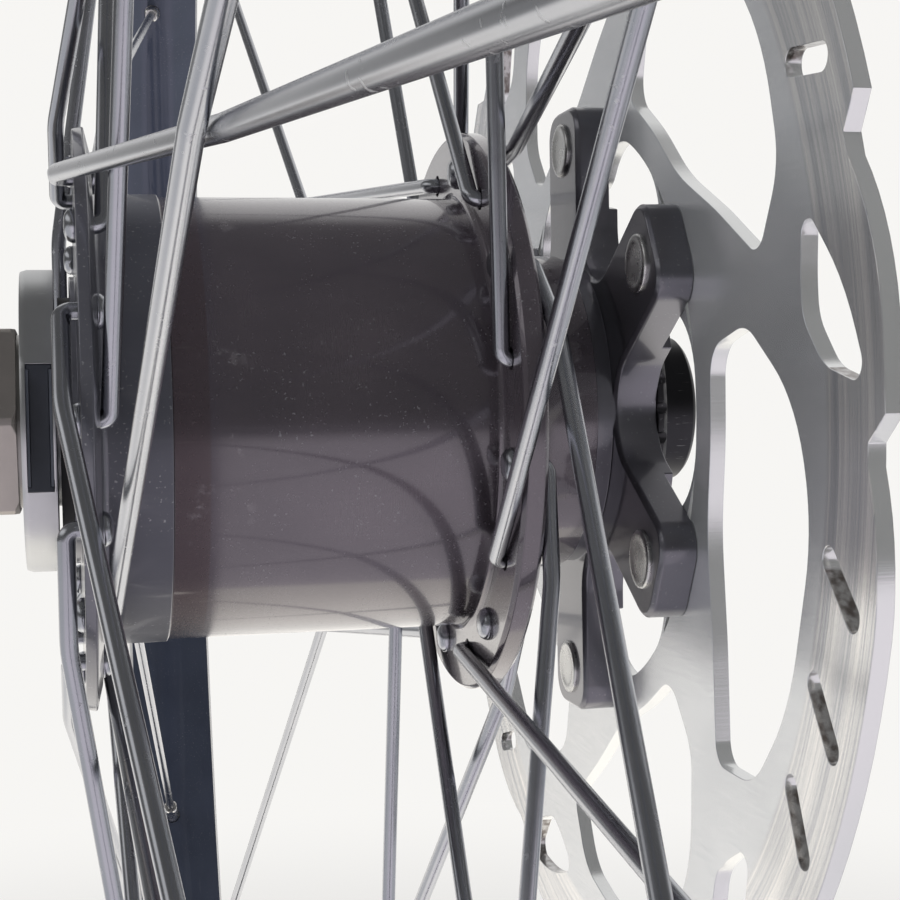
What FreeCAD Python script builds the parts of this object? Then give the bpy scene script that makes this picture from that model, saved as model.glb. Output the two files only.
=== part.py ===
import FreeCAD, Part
import math
import os

# Front wheel with a hub dynamo and a disc brake rotor, without a tyre.
# Millimetres. The origin is the centre of the axle in the rim's middle plane.
# +Y runs along the axle to the brake rotor, -Y to the electrical connector, and +Z is up.
# Degrees turn about +Y, from +X towards -Z.

# Axle and the fork it fits
FORK_WIDTH = 100.0
THRU_BORE_D = 12.1
AXLE_D = 17.0
FORK_SOCKET_D = 18.6
END_CHAMFER = 0.6

# Spokes and nipples
HOLES_PER_FLANGE = 16
CROSSINGS = 3
FIRST_HOLE_DEG = -11.1
SPOKE_D = 2.0
SPOKE_HOLE_D = 2.6
SPOKE_HEAD_D = 4.0
SPOKE_HEAD_TOP_D = 2.3
SPOKE_HEAD_LENGTH = 1.3
SPOKE_TOUCH_GAP = 0.05
CONNECTOR_ELBOW_LIFT = 1.8
ELBOW_BEND_R = 1.2
SOFT_BEND_R = 20.0
FLANGE_EDGE_REACH = 1.0
NIPPLE_SHANK_D = 4.0
NIPPLE_HEAD_D = 6.0
NIPPLE_HEAD_TOP_D = 4.2
NIPPLE_HEAD_LENGTH = 2.4
NIPPLE_BODY_LENGTH = 9.0
NIPPLE_FLATS = 3.3
NIPPLE_FLATS_LENGTH = 6.5
NIPPLE_STAGGER = 1.5
NIPPLE_CLEARANCE = 0.15

# Rim for a 622 mm tyre
BEAD_SEAT_D = 622.0
RIM_WIDTH = 23.0
RIM_INNER_WIDTH = 19.0
RIM_FLANGE_HEIGHT = 5.8
RIM_HOOK = 0.7
RIM_HOOK_HEIGHT = 1.8
RIM_WELL_DEPTH = 4.5
RIM_WELL_WIDTH = 9.0
RIM_BED_THICKNESS = 1.3
RIM_WALL = 1.5
RIM_DEPTH = 18.5
RIM_SPOKE_BED_WIDTH = 12.0
RIM_SPOKE_BED_THICKNESS = 2.2
RIM_WELL_CORNER = 0.9
RIM_WELL_SLOPE = 1.6
RIM_BEAD_DROP = 0.6
RIM_BEAD_CORNER = 1.0
RIM_EDGE_CORNER = 0.6
RIM_SIDE_DROP = 3.0
RIM_SHOULDER_DROP = 5.5
RIM_SHOULDER_INSET = 0.7
RIM_BED_SLOPE_RISE = 1.6
RIM_BED_SLOPE_OUT = 1.0
RIM_BED_CROWN = 0.4
RIM_BED_CROWN_INSET = 0.9
RIM_BED_FLAT_INSET = 3.0
RIM_CHAMBER_INSET = 0.6
RIM_CHAMBER_CORNER = 1.2
NIPPLE_SOCKET_D = 8.6
TAPE_WIDTH = 7.0
TAPE_THICKNESS = 0.6
TAPE_LIFT = 0.25
VALVE_HOLE_D = 8.5
VALVE_GAP = 4

# Hub shell and flanges
SHELL_D = 54.4
SHELL_WALL = 2.8
SHELL_SEAM_Y = -17.2
SHELL_WEB_Y = 15.0
FLANGE_D = 70.8
FLANGE_THICKNESS = 2.9
CONNECTOR_FLANGE_THICKNESS = 2.0
FLANGE_FILLET = 0.9
FLANGE_EDGE_CHAMFER = 0.5
CONNECTOR_EDGE_BEVEL = 0.25
CONNECTOR_EDGE_BEVEL_WIDTH = 1.05
CONNECTOR_EDGE_LAND = 0.3
CONNECTOR_EDGE_TAPER = 2.8
HOLE_CIRCLE_D = 60.8
CONNECTOR_FLANGE_Y = -27.05
CONNECTOR_BOSS_D = 35.0
CONNECTOR_BOSS_HEIGHT = 0.75
END_WEB_STEP = 1.0
DISC_FLANGE_Y = 22.9
CAP_RING_D = 55.0
SPIGOT_LENGTH = 3.6
SPIGOT_WALL = 1.7
NECK_ROOT_D = 48.0
NECK_D = 40.0
NECK_END_Y = 33.3
SEAT_WALL = 2.0

# Bearings, 17 x 30 x 7
BEARING_D = 30.0
BEARING_WIDTH = 7.0
BALL_D = 3.97
BALL_COUNT = 10
RACE_CLEARANCE = 0.08
INNER_RING_WALL = 2.1
OUTER_RING_WALL = 2.0
CAGE_WALL = 1.2
CAGE_WIDTH = 5.0
POCKET_CLEARANCE = 0.12
SEAL_THICKNESS = 0.4
SEAL_INSET = 0.15
SEAL_LIP_GAP = 0.06
BEARING_LIP = 1.4
LIP_THICKNESS = 1.5
CONNECTOR_BEARING_Y = -23.8
DISC_BEARING_Y = 30.5
FIT_GAP = 0.03

# Generator
POLE_PAIRS = 14
STATOR_D = 41.2
AIR_GAP = 0.6
CLAW_LENGTH = 24.0
CLAW_PLATE = 2.0
CLAW_WALL = 1.5
CLAW_ROOT_DEG = 9.6
CLAW_TIP_DEG = 6.0
CLAW_TIP_GAP = 0.9
CLAW_ROOT_OVERLAP = 0.2
CORE_D = 22.4
BOBBIN_WALL = 1.0
BOBBIN_D = 37.0
COIL_INSET = 0.3
MAGNET_THICKNESS = 2.2
MAGNET_LENGTH = 22.0
MAGNET_GAP_DEG = 1.2
YOKE_WALL = 0.95
YOKE_OVERHANG = 1.0
LEAD_D = 0.9
LEAD_SPACING = 1.2
LEAD_INSET = 0.6
LEAD_OVERLAP = 1.0
SLOT_WIDTH = 2.6
SLOT_DEPTH = 1.3
SPACER_WALL = 1.9

# Connector side cap, terminals and nut
CAP_D = 36.7
CAP_THICKNESS = 3.9
CAP_INNER_Y = -29.6
CAP_SLEEVE_D = 20.8
CAP_EDGE_BEVEL = 0.25
CAP_EDGE_BEVEL_WIDTH = 0.75
TERMINAL_TOP_Z = 6.4
TERMINAL_BOTTOM_Z = -8.0
TERMINAL_DEPTH_X = 12.4
TERMINAL_FACE_X = 17.0
TERMINAL_OUTER_WALL = 0.65
TERMINAL_INNER_WALL = 0.4
CONTACT_THICKNESS = 0.3
CONTACT_HEIGHT = 13.2
CONTACT_PROUD = 0.1
CONTACT_FOOT = 1.0
LEAD_WAY_MARGIN = 0.5
WASHER_D = 21.0
WASHER_THICKNESS = 0.6
NUT_FLATS = 22.0
NUT_ROUND_D = 24.8
NUT_BEVEL = 1.0
NUT_LENGTH = 11.9
DUST_SEAL_THICKNESS = 1.5
DUST_SEAL_GAP = 0.15
DUST_LIP_GAP = 1.0
DUST_LIP_PROUD = 1.4

# Brake rotor carrier
SPLINE_D = 34.4
SPLINE_DEPTH = 0.9
SPLINE_COUNT = 24
SPLINE_FILL = 0.45
SPLINE_GAP = 0.08
THREAD_D = 30.8
SPLINE_END_Y = 40.0
BOSS_D = 39.2
CARRIER_BACK_Y = 40.7
CARRIER_BACK_D = 52.6
ARM_COUNT = 6
FIRST_ARM_DEG = -29.2
ARM_FACE_Y = 35.3
ARM_END_MARGIN = 5.7
ARM_WIDTH = 12.6
ARM_CORNER_R = 3.6
ARM_VALLEY_R = 19.8
ARM_EDGE_CHAMFER = 0.5
RIVET_CIRCLE_D = 67.4
RIVET_D = 4.2
RIVET_HEAD_D = 6.8
RIVET_HEAD = 0.5
RIVET_HEAD_BEVEL = 0.2

# Brake rotor
ROTOR_D = 160.0
ROTOR_Y = 39.6
ROTOR_THICKNESS = 1.8
ROTOR_INNER_D = 71.2
ROTOR_LUG_D = 10.4
ROTOR_LUG_FILLET = 9.0
ROTOR_LUG_OVERLAP = 1.5
ROTOR_NOTCH_DEPTH = 3.2
ROTOR_FIRST_NOTCH_DEG = -18.4
ROTOR_SECOND_NOTCH_DEG = 2.6
ROTOR_NOTCH_DROP_DEG = 1.9
ROTOR_NOTCH_RISE_DEG = 11.0
ROTOR_NOTCH_FLOOR_DEG = 1.6
ROTOR_NOTCH_BEND_SHARE = 0.62
ROTOR_NOTCH_BEND_DEPTH = 0.96
ROTOR_SLOT_WIDTH = 2.8
ROTOR_SLOT_DEGS = (13.3, 23.6, 33.7)
ROTOR_SLOT_LOW_DEPTH = 9.9
ROTOR_SLOT_HIGH_DEPTH = 4.4
ROTOR_SLOT_SLANT_DEG = 1.4

# Lockring and disc side end cap
LOCKRING_D = 41.0
LOCKRING_THICKNESS = 1.3
LOCKRING_TEETH = 36
LOCKRING_TOOTH_D = 1.5
LOCKRING_TOOTH_INSET = 0.55
LOCKRING_SKIRT_D = 30.5
LOCKRING_SKIRT_WALL = 1.5
LOCKRING_SKIRT_LENGTH = 4.3
DISC_CAP_D = 24.0
DISC_CAP_STEP_Y = 44.5

# Values that follow from the ones above
AXLE_R = AXLE_D / 2
HOLE_CIRCLE_R = HOLE_CIRCLE_D / 2
HOLE_STEP_DEG = 360.0 / HOLES_PER_FLANGE
DISC_FLANGE_INNER_Y = DISC_FLANGE_Y - FLANGE_THICKNESS
CONNECTOR_FLANGE_INNER_Y = CONNECTOR_FLANGE_Y + CONNECTOR_FLANGE_THICKNESS
CONNECTOR_BOSS_Y = CONNECTOR_FLANGE_Y - CONNECTOR_BOSS_HEIGHT
CONNECTOR_FIRST_HOLE_DEG = FIRST_HOLE_DEG + HOLE_STEP_DEG / 2
SPOKE_SWEEP_DEG = CROSSINGS * HOLE_STEP_DEG
LAST_CROSSING_DEG = SPOKE_SWEEP_DEG - HOLE_STEP_DEG / 2
SPOKE_R = SPOKE_D / 2
VALVE_DEG = CONNECTOR_FIRST_HOLE_DEG + HOLE_STEP_DEG * (VALVE_GAP + 0.25)
BEAD_SEAT_R = BEAD_SEAT_D / 2
RIM_OUTER_R = BEAD_SEAT_R + RIM_FLANGE_HEIGHT
RIM_BED_R = RIM_OUTER_R - RIM_DEPTH
RIM_WELL_R = BEAD_SEAT_R - RIM_WELL_DEPTH
NIPPLE_SEAT_R = RIM_BED_R + RIM_SPOKE_BED_THICKNESS
SHELL_R = SHELL_D / 2
SHELL_INNER_R = SHELL_R - SHELL_WALL
FLANGE_R = FLANGE_D / 2
BEARING_R = BEARING_D / 2
BALL_CIRCLE_R = (AXLE_R + BEARING_R + (INNER_RING_WALL - OUTER_RING_WALL)) / 2
STATOR_R = STATOR_D / 2
MAGNET_INNER_R = STATOR_R + AIR_GAP
MAGNET_OUTER_R = MAGNET_INNER_R + MAGNET_THICKNESS
CLAW_OUTER_Y = CLAW_LENGTH / 2
CLAW_INNER_Y = CLAW_OUTER_Y - CLAW_PLATE
CAP_OUTER_Y = CAP_INNER_Y - CAP_THICKNESS
TERMINAL_OUTER_Y = CAP_OUTER_Y + TERMINAL_OUTER_WALL
TERMINAL_INNER_Y = CAP_INNER_Y - TERMINAL_INNER_WALL
NUT_INNER_Y = CAP_OUTER_Y - WASHER_THICKNESS
NUT_OUTER_Y = NUT_INNER_Y - NUT_LENGTH
LEAD_START_Y = CAP_OUTER_Y + LEAD_INSET
LEAD_END_Y = -CLAW_OUTER_Y + LEAD_OVERLAP
LEAD_CENTRE_R = AXLE_R - SLOT_DEPTH / 2
RIVET_CIRCLE_R = RIVET_CIRCLE_D / 2
ARM_END_R = RIVET_CIRCLE_R + ARM_END_MARGIN
ROTOR_R = ROTOR_D / 2
ROTOR_INNER_R = ROTOR_INNER_D / 2
ROTOR_OUTER_Y = ROTOR_Y + ROTOR_THICKNESS
HALF_WIDTH = FORK_WIDTH / 2

ORIGIN = FreeCAD.Vector(0, 0, 0)
AXLE_LINE = FreeCAD.Vector(0, 1, 0)


def polar(radius, y, degrees):
    """The point at a radius and an angle about the axle, at y along it."""
    angle = math.radians(degrees)
    return FreeCAD.Vector(radius * math.cos(angle), y, -radius * math.sin(angle))


def turned(outline):
    """A solid of revolution about the axle, from (radius, y) corners."""
    points = [FreeCAD.Vector(radius, y, 0) for radius, y in outline]
    face = Part.Face(Part.makePolygon(points + points[:1]))
    return face.revolve(ORIGIN, AXLE_LINE, 360)


def ring(inner_r, outer_r, low_y, high_y):
    """A plain ring on the axle."""
    return turned([(inner_r, low_y), (outer_r, low_y), (outer_r, high_y), (inner_r, high_y)])


def spun(shape, degrees):
    """A copy of the shape, turned about the axle."""
    copy = shape.copy()
    copy.rotate(ORIGIN, AXLE_LINE, degrees)
    return copy


def around(shape, count):
    """Evenly spaced copies of the shape about the axle."""
    return [spun(shape, 360.0 * index / count) for index in range(count)]


def rod(start, end, radius):
    """A round bar between two points."""
    return Part.makeCylinder(radius, (end - start).Length, start, end - start)


def rounded_loop(corners, y):
    """A closed flat wire square to the axle, from (radius, degrees, rounding) corners."""
    points = [polar(radius, y, degrees) for radius, degrees, rounding in corners]
    count = len(points)
    arcs = []
    for index in range(count):
        corner = points[index]
        back = points[index - 1] - corner
        ahead = points[(index + 1) % count] - corner
        half_turn = (math.pi - back.getAngle(ahead)) / 2
        reach = min(corners[index][2] * math.tan(half_turn), 0.48 * back.Length, 0.48 * ahead.Length)
        rounding = reach / math.tan(half_turn)
        back = back / back.Length
        ahead = ahead / ahead.Length
        bisector = (back + ahead) / (back + ahead).Length
        middle = corner + bisector * (rounding / math.cos(half_turn) - rounding)
        arcs.append(Part.Arc(corner + back * reach, middle, corner + ahead * reach).toShape())
    edges = []
    for index in range(count):
        following = arcs[(index + 1) % count]
        edges.append(arcs[index])
        edges.append(Part.LineSegment(arcs[index].lastVertex(True).Point,
                                      following.firstVertex(True).Point).toShape())
    return Part.Wire(edges)


def bore(radius, low_y, high_y):
    """A round cutter on the axle."""
    return Part.makeCylinder(radius, high_y - low_y, FreeCAD.Vector(0, low_y, 0), AXLE_LINE)


def slab(wire, thickness):
    """A flat plate of the wire's outline, thickened along +Y."""
    return Part.Face(wire).extrude(AXLE_LINE * thickness)


def write(shape, name):
    """One file per piece, or per group of like pieces."""
    solids = shape.Solids
    part = solids[0] if len(solids) == 1 else Part.makeCompound(solids)
    part.exportStep("parts/" + name + ".step")
    print(name, len(solids), round(sum(solid.Volume for solid in solids), 1), shape.isValid())


# Stationary pieces on the axle

def axle_tube():
    """The hollow axle, chamfered at both ends, with a slot for the two leads."""
    body = turned([
        (THRU_BORE_D / 2, -HALF_WIDTH),
        (AXLE_R - END_CHAMFER, -HALF_WIDTH),
        (AXLE_R, -HALF_WIDTH + END_CHAMFER),
        (AXLE_R, HALF_WIDTH - END_CHAMFER),
        (AXLE_R - END_CHAMFER, HALF_WIDTH),
        (THRU_BORE_D / 2, HALF_WIDTH),
    ])
    slot = Part.makeBox(
        SLOT_DEPTH + 1, LEAD_END_Y - LEAD_START_Y, SLOT_WIDTH,
        FreeCAD.Vector(AXLE_R - SLOT_DEPTH, LEAD_START_Y, -SLOT_WIDTH / 2))
    return body.cut(slot)


def spacer(low_y, high_y):
    """A sleeve that keeps an inner bearing ring off the stator."""
    return ring(AXLE_R + FIT_GAP, AXLE_R + SPACER_WALL, low_y, high_y)


def claw_pole(side):
    """A pressed steel pole half: a plate, half of the core and bent over fingers."""
    root_y = CLAW_OUTER_Y
    tip_y = -CLAW_INNER_Y + CLAW_TIP_GAP
    finger_r = STATOR_R - CLAW_WALL / 2
    root_r = STATOR_R - CLAW_WALL
    half_root = finger_r * math.radians(CLAW_ROOT_DEG) / 2
    half_tip = finger_r * math.radians(CLAW_TIP_DEG) / 2
    blade_x = root_r - CLAW_WALL
    corners = [
        FreeCAD.Vector(blade_x, root_y, -half_root),
        FreeCAD.Vector(blade_x, root_y, half_root),
        FreeCAD.Vector(blade_x, tip_y, half_tip),
        FreeCAD.Vector(blade_x, tip_y, -half_tip),
    ]
    blade = Part.Face(Part.makePolygon(corners + corners[:1])).extrude(FreeCAD.Vector(3 * CLAW_WALL, 0, 0))
    finger = blade.common(ring(root_r, STATOR_R, tip_y, root_y))
    plate = ring(AXLE_R + FIT_GAP, root_r + CLAW_ROOT_OVERLAP, CLAW_INNER_Y, CLAW_OUTER_Y)
    core = ring(AXLE_R + FIT_GAP, CORE_D / 2, 0, CLAW_INNER_Y)
    half = plate.fuse([core] + around(finger, POLE_PAIRS)).removeSplitter()
    if side > 0:
        return half
    flipped = half.copy()
    flipped.rotate(ORIGIN, FreeCAD.Vector(1, 0, 0), 180)
    flipped = spun(flipped, 180.0 / POLE_PAIRS)
    slot = Part.makeBox(
        2 * SLOT_DEPTH, CLAW_LENGTH, SLOT_WIDTH,
        FreeCAD.Vector(AXLE_R - SLOT_DEPTH, -CLAW_LENGTH, -SLOT_WIDTH / 2))
    return flipped.cut(slot)


def coil_bobbin():
    """The moulded spool on the core, between the two pole plates."""
    inner_r = CORE_D / 2 + FIT_GAP
    end_y = CLAW_INNER_Y - FIT_GAP
    spool = turned([
        (inner_r, -end_y),
        (BOBBIN_D / 2, -end_y),
        (BOBBIN_D / 2, -end_y + BOBBIN_WALL),
        (inner_r + BOBBIN_WALL, -end_y + BOBBIN_WALL),
        (inner_r + BOBBIN_WALL, end_y - BOBBIN_WALL),
        (BOBBIN_D / 2, end_y - BOBBIN_WALL),
        (BOBBIN_D / 2, end_y),
        (inner_r, end_y),
    ])
    return spool


def coil_winding():
    """The copper winding that fills the bobbin."""
    end_y = CLAW_INNER_Y - BOBBIN_WALL - 2 * FIT_GAP
    return ring(CORE_D / 2 + BOBBIN_WALL + 2 * FIT_GAP, BOBBIN_D / 2 - COIL_INSET, -end_y, end_y)


def coil_leads():
    """Two insulated wires in the axle's slot, from the stator to the terminals."""
    leads = []
    for side in (-1, 1):
        z = side * LEAD_SPACING / 2
        corner = FreeCAD.Vector(LEAD_CENTRE_R, (LEAD_START_Y + CAP_INNER_Y) / 2, z)
        run = rod(corner, FreeCAD.Vector(LEAD_CENTRE_R, LEAD_END_Y, z), LEAD_D / 2)
        rise = rod(corner, FreeCAD.Vector(TERMINAL_DEPTH_X, corner.y, z), LEAD_D / 2)
        knuckle = Part.makeSphere(LEAD_D / 2, corner)
        leads.append(run.fuse([rise, knuckle]).removeSplitter())
    return Part.makeCompound(leads)


def terminal_box(clearance):
    """The space of the terminal block in the cap's edge, widened by a clearance."""
    return Part.makeBox(
        CAP_D / 2 - TERMINAL_DEPTH_X + clearance,
        TERMINAL_INNER_Y - TERMINAL_OUTER_Y + 2 * clearance,
        TERMINAL_TOP_Z - TERMINAL_BOTTOM_Z + 2 * clearance,
        FreeCAD.Vector(TERMINAL_DEPTH_X - clearance, TERMINAL_OUTER_Y - clearance,
                       TERMINAL_BOTTOM_Z - clearance))


def connector_side_cap():
    """The aluminium dust cap, with a pocket in its edge for the terminal block."""
    bearing_end_y = CONNECTOR_BEARING_Y - BEARING_WIDTH / 2
    body = turned([
        (AXLE_R + FIT_GAP, CAP_OUTER_Y),
        (CAP_D / 2 - CAP_EDGE_BEVEL, CAP_OUTER_Y),
        (CAP_D / 2, CAP_OUTER_Y + CAP_EDGE_BEVEL_WIDTH),
        (CAP_D / 2, CAP_INNER_Y),
        (CAP_SLEEVE_D / 2, CAP_INNER_Y),
        (CAP_SLEEVE_D / 2, bearing_end_y),
        (AXLE_R + FIT_GAP, bearing_end_y),
    ])
    lead_way = Part.makeBox(
        TERMINAL_DEPTH_X - AXLE_R + 2 * LEAD_WAY_MARGIN, CAP_THICKNESS - 2 * LEAD_WAY_MARGIN, SLOT_WIDTH,
        FreeCAD.Vector(AXLE_R - LEAD_WAY_MARGIN, CAP_OUTER_Y + LEAD_WAY_MARGIN, -SLOT_WIDTH / 2))
    return body.cut([terminal_box(FIT_GAP), lead_way])


def terminal_block():
    """The black plug-on terminal body in the cap's pocket, with a groove for a contact in each side."""
    body = terminal_box(0)
    face = Part.makeBox(
        CAP_D, CAP_THICKNESS, TERMINAL_TOP_Z - TERMINAL_BOTTOM_Z + 2,
        FreeCAD.Vector(TERMINAL_FACE_X, CAP_OUTER_Y, TERMINAL_BOTTOM_Z - 1))
    groove_depth = CONTACT_THICKNESS + FIT_GAP
    middle_z = (TERMINAL_TOP_Z + TERMINAL_BOTTOM_Z) / 2
    grooves = []
    for low_y in (TERMINAL_OUTER_Y - 1, TERMINAL_INNER_Y - groove_depth):
        grooves.append(Part.makeBox(
            CAP_D, groove_depth + 1, CONTACT_HEIGHT + 2 * FIT_GAP,
            FreeCAD.Vector(TERMINAL_DEPTH_X + CONTACT_FOOT, low_y,
                           middle_z - CONTACT_HEIGHT / 2 - FIT_GAP)))
    return body.cut(grooves + [face])


def terminal_contacts():
    """The two thin spring brass blades, one in each side of the terminal block."""
    foot_x = TERMINAL_DEPTH_X + CONTACT_FOOT + FIT_GAP
    middle_z = (TERMINAL_TOP_Z + TERMINAL_BOTTOM_Z) / 2
    blades = []
    for low_y in (TERMINAL_OUTER_Y, TERMINAL_INNER_Y - CONTACT_THICKNESS):
        blades.append(Part.makeBox(
            TERMINAL_FACE_X + CONTACT_PROUD - foot_x, CONTACT_THICKNESS, CONTACT_HEIGHT,
            FreeCAD.Vector(foot_x, low_y, middle_z - CONTACT_HEIGHT / 2)))
    return Part.makeCompound(blades)


def tab_washer():
    """The thin steel washer between the cap and the nut."""
    return ring(AXLE_R + FIT_GAP, WASHER_D / 2, NUT_INNER_Y, CAP_OUTER_Y)


def lock_nut():
    """The hexagon nut on the axle, one corner to the front and its corners bevelled at both ends."""
    body = turned([
        (AXLE_R + FIT_GAP, NUT_OUTER_Y),
        (NUT_ROUND_D / 2 - NUT_BEVEL, NUT_OUTER_Y),
        (NUT_ROUND_D / 2, NUT_OUTER_Y + NUT_BEVEL),
        (NUT_ROUND_D / 2, NUT_INNER_Y - NUT_BEVEL / 2),
        (NUT_ROUND_D / 2 - NUT_BEVEL / 2, NUT_INNER_Y),
        (AXLE_R + FIT_GAP, NUT_INNER_Y),
    ])
    corner_r = NUT_FLATS / 2 / math.cos(math.pi / 6)
    corners = [polar(corner_r, NUT_OUTER_Y, 60 * index) for index in range(6)]
    hexagon = slab(Part.makePolygon(corners + corners[:1]), NUT_LENGTH)
    return body.common(hexagon)


def connector_side_sleeve():
    """The end ring that sits in the fork's socket on the connector side."""
    return turned([
        (AXLE_R + FIT_GAP, -HALF_WIDTH),
        (FORK_SOCKET_D / 2 - END_CHAMFER, -HALF_WIDTH),
        (FORK_SOCKET_D / 2, -HALF_WIDTH + END_CHAMFER),
        (FORK_SOCKET_D / 2, NUT_OUTER_Y),
        (AXLE_R + FIT_GAP, NUT_OUTER_Y),
    ])


def disc_side_end_cap():
    """The stepped end cap on the disc side, from the inner bearing ring to the fork."""
    inner_y = DISC_BEARING_Y + BEARING_WIDTH / 2
    sleeve_r = AXLE_R + SPACER_WALL
    return turned([
        (AXLE_R + FIT_GAP, inner_y),
        (sleeve_r, inner_y),
        (sleeve_r, inner_y + DUST_SEAL_THICKNESS),
        (DISC_CAP_D / 2, inner_y + DUST_SEAL_THICKNESS),
        (DISC_CAP_D / 2, DISC_CAP_STEP_Y - END_CHAMFER),
        (DISC_CAP_D / 2 - END_CHAMFER, DISC_CAP_STEP_Y),
        (FORK_SOCKET_D / 2, DISC_CAP_STEP_Y),
        (FORK_SOCKET_D / 2, HALF_WIDTH - END_CHAMFER),
        (FORK_SOCKET_D / 2 - END_CHAMFER, HALF_WIDTH),
        (AXLE_R + FIT_GAP, HALF_WIDTH),
    ])


# Bearings

def race_groove(y):
    """The ring shaped space that the balls sweep, with their running clearance."""
    return Part.makeTorus(
        BALL_CIRCLE_R, BALL_D / 2 + RACE_CLEARANCE, FreeCAD.Vector(0, y, 0), AXLE_LINE)


def bearing_inner_ring(y):
    """The inner ring, fixed on the axle."""
    body = ring(AXLE_R + FIT_GAP, AXLE_R + INNER_RING_WALL, y - BEARING_WIDTH / 2, y + BEARING_WIDTH / 2)
    return body.cut(race_groove(y))


def bearing_outer_ring(y):
    """The outer ring, seated in the hub."""
    body = ring(BEARING_R - OUTER_RING_WALL, BEARING_R, y - BEARING_WIDTH / 2, y + BEARING_WIDTH / 2)
    return body.cut(race_groove(y))


def bearing_balls(y):
    """The balls, evenly spaced between the rings."""
    ball = Part.makeSphere(BALL_D / 2, FreeCAD.Vector(BALL_CIRCLE_R, y, 0))
    return Part.makeCompound(around(ball, BALL_COUNT))


def bearing_cage(y):
    """The ring that keeps the balls apart, with one pocket for each."""
    body = ring(
        BALL_CIRCLE_R - CAGE_WALL / 2, BALL_CIRCLE_R + CAGE_WALL / 2,
        y - CAGE_WIDTH / 2, y + CAGE_WIDTH / 2)
    pocket = rod(
        FreeCAD.Vector(BALL_CIRCLE_R - CAGE_WALL, y, 0),
        FreeCAD.Vector(BALL_CIRCLE_R + CAGE_WALL, y, 0), BALL_D / 2 + POCKET_CLEARANCE)
    return spun(body, 180.0 / BALL_COUNT).cut(around(pocket, BALL_COUNT))


def bearing_seals(y):
    """The two thin seals, held by the outer ring."""
    seals = []
    for side in (-1, 1):
        outer_y = y + side * (BEARING_WIDTH / 2 - SEAL_INSET)
        inner_y = outer_y - side * SEAL_THICKNESS
        seals.append(ring(
            AXLE_R + INNER_RING_WALL + SEAL_LIP_GAP, BEARING_R - OUTER_RING_WALL,
            min(inner_y, outer_y), max(inner_y, outer_y)))
    return Part.makeCompound(seals)


# Hub shell and generator rotor

def spoke_holes(flange_y, first_deg):
    """The drills for one flange's spoke holes."""
    start = polar(HOLE_CIRCLE_R, flange_y - 2 * FLANGE_THICKNESS, first_deg)
    end = polar(HOLE_CIRCLE_R, flange_y + 2 * FLANGE_THICKNESS, first_deg)
    return around(rod(start, end, SPOKE_HOLE_D / 2), HOLES_PER_FLANGE)


def filleted_corner(corner_r, corner_y, fillet, side):
    """Points of the concave quarter round where a flange meets the barrel."""
    steps = 5
    points = []
    for index in range(steps + 1):
        angle = math.pi / 2 * index / steps
        points.append((
            corner_r + fillet * (1 - math.cos(angle)),
            corner_y - side * fillet * (1 - math.sin(angle))))
    return points


def spline_teeth(outer_r, width_share, low_y, high_y):
    """The ridges of the splined seat, as separate bars to fuse or to cut."""
    width = 2 * math.pi * outer_r / SPLINE_COUNT * width_share
    bar = Part.makeBox(
        SPLINE_DEPTH + 1, high_y - low_y, width,
        FreeCAD.Vector(outer_r - SPLINE_DEPTH, low_y, -width / 2))
    return around(bar, SPLINE_COUNT)


def hub_shell():
    """The barrel with the disc side flange, the neck and the splined rotor seat."""
    bearing_low_y = DISC_BEARING_Y - BEARING_WIDTH / 2
    bearing_high_y = DISC_BEARING_Y + BEARING_WIDTH / 2
    hollow_r = BEARING_R + SEAT_WALL
    outline = [
        (SHELL_INNER_R, SHELL_SEAM_Y),
        (SHELL_R, SHELL_SEAM_Y),
    ]
    outline += filleted_corner(SHELL_R, DISC_FLANGE_INNER_Y, FLANGE_FILLET, 1)
    outline += [
        (FLANGE_R - FLANGE_EDGE_CHAMFER, DISC_FLANGE_INNER_Y),
        (FLANGE_R, DISC_FLANGE_INNER_Y + FLANGE_EDGE_CHAMFER),
        (FLANGE_R, DISC_FLANGE_Y - FLANGE_EDGE_CHAMFER),
        (FLANGE_R - FLANGE_EDGE_CHAMFER, DISC_FLANGE_Y),
        (NECK_ROOT_D / 2, DISC_FLANGE_Y),
        (NECK_D / 2, DISC_FLANGE_Y + (NECK_ROOT_D - NECK_D) / 2),
        (NECK_D / 2, NECK_END_Y),
        (SPLINE_D / 2, NECK_END_Y),
        (SPLINE_D / 2, SPLINE_END_Y),
        (THREAD_D / 2, SPLINE_END_Y),
        (THREAD_D / 2, bearing_high_y + DUST_SEAL_THICKNESS),
        (BEARING_R, bearing_high_y + DUST_SEAL_THICKNESS),
        (BEARING_R, bearing_low_y),
        (BEARING_R - BEARING_LIP, bearing_low_y),
        (BEARING_R - BEARING_LIP, bearing_low_y - LIP_THICKNESS),
        (hollow_r, bearing_low_y - LIP_THICKNESS),
        (hollow_r, DISC_FLANGE_INNER_Y),
        (SHELL_INNER_R, SHELL_WEB_Y),
    ]
    body = turned(outline)
    grooves = spline_teeth(SPLINE_D / 2, SPLINE_FILL, NECK_END_Y, SPLINE_END_Y + 1)
    return body.cut(spoke_holes(DISC_FLANGE_Y, FIRST_HOLE_DEG) + grooves)


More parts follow.
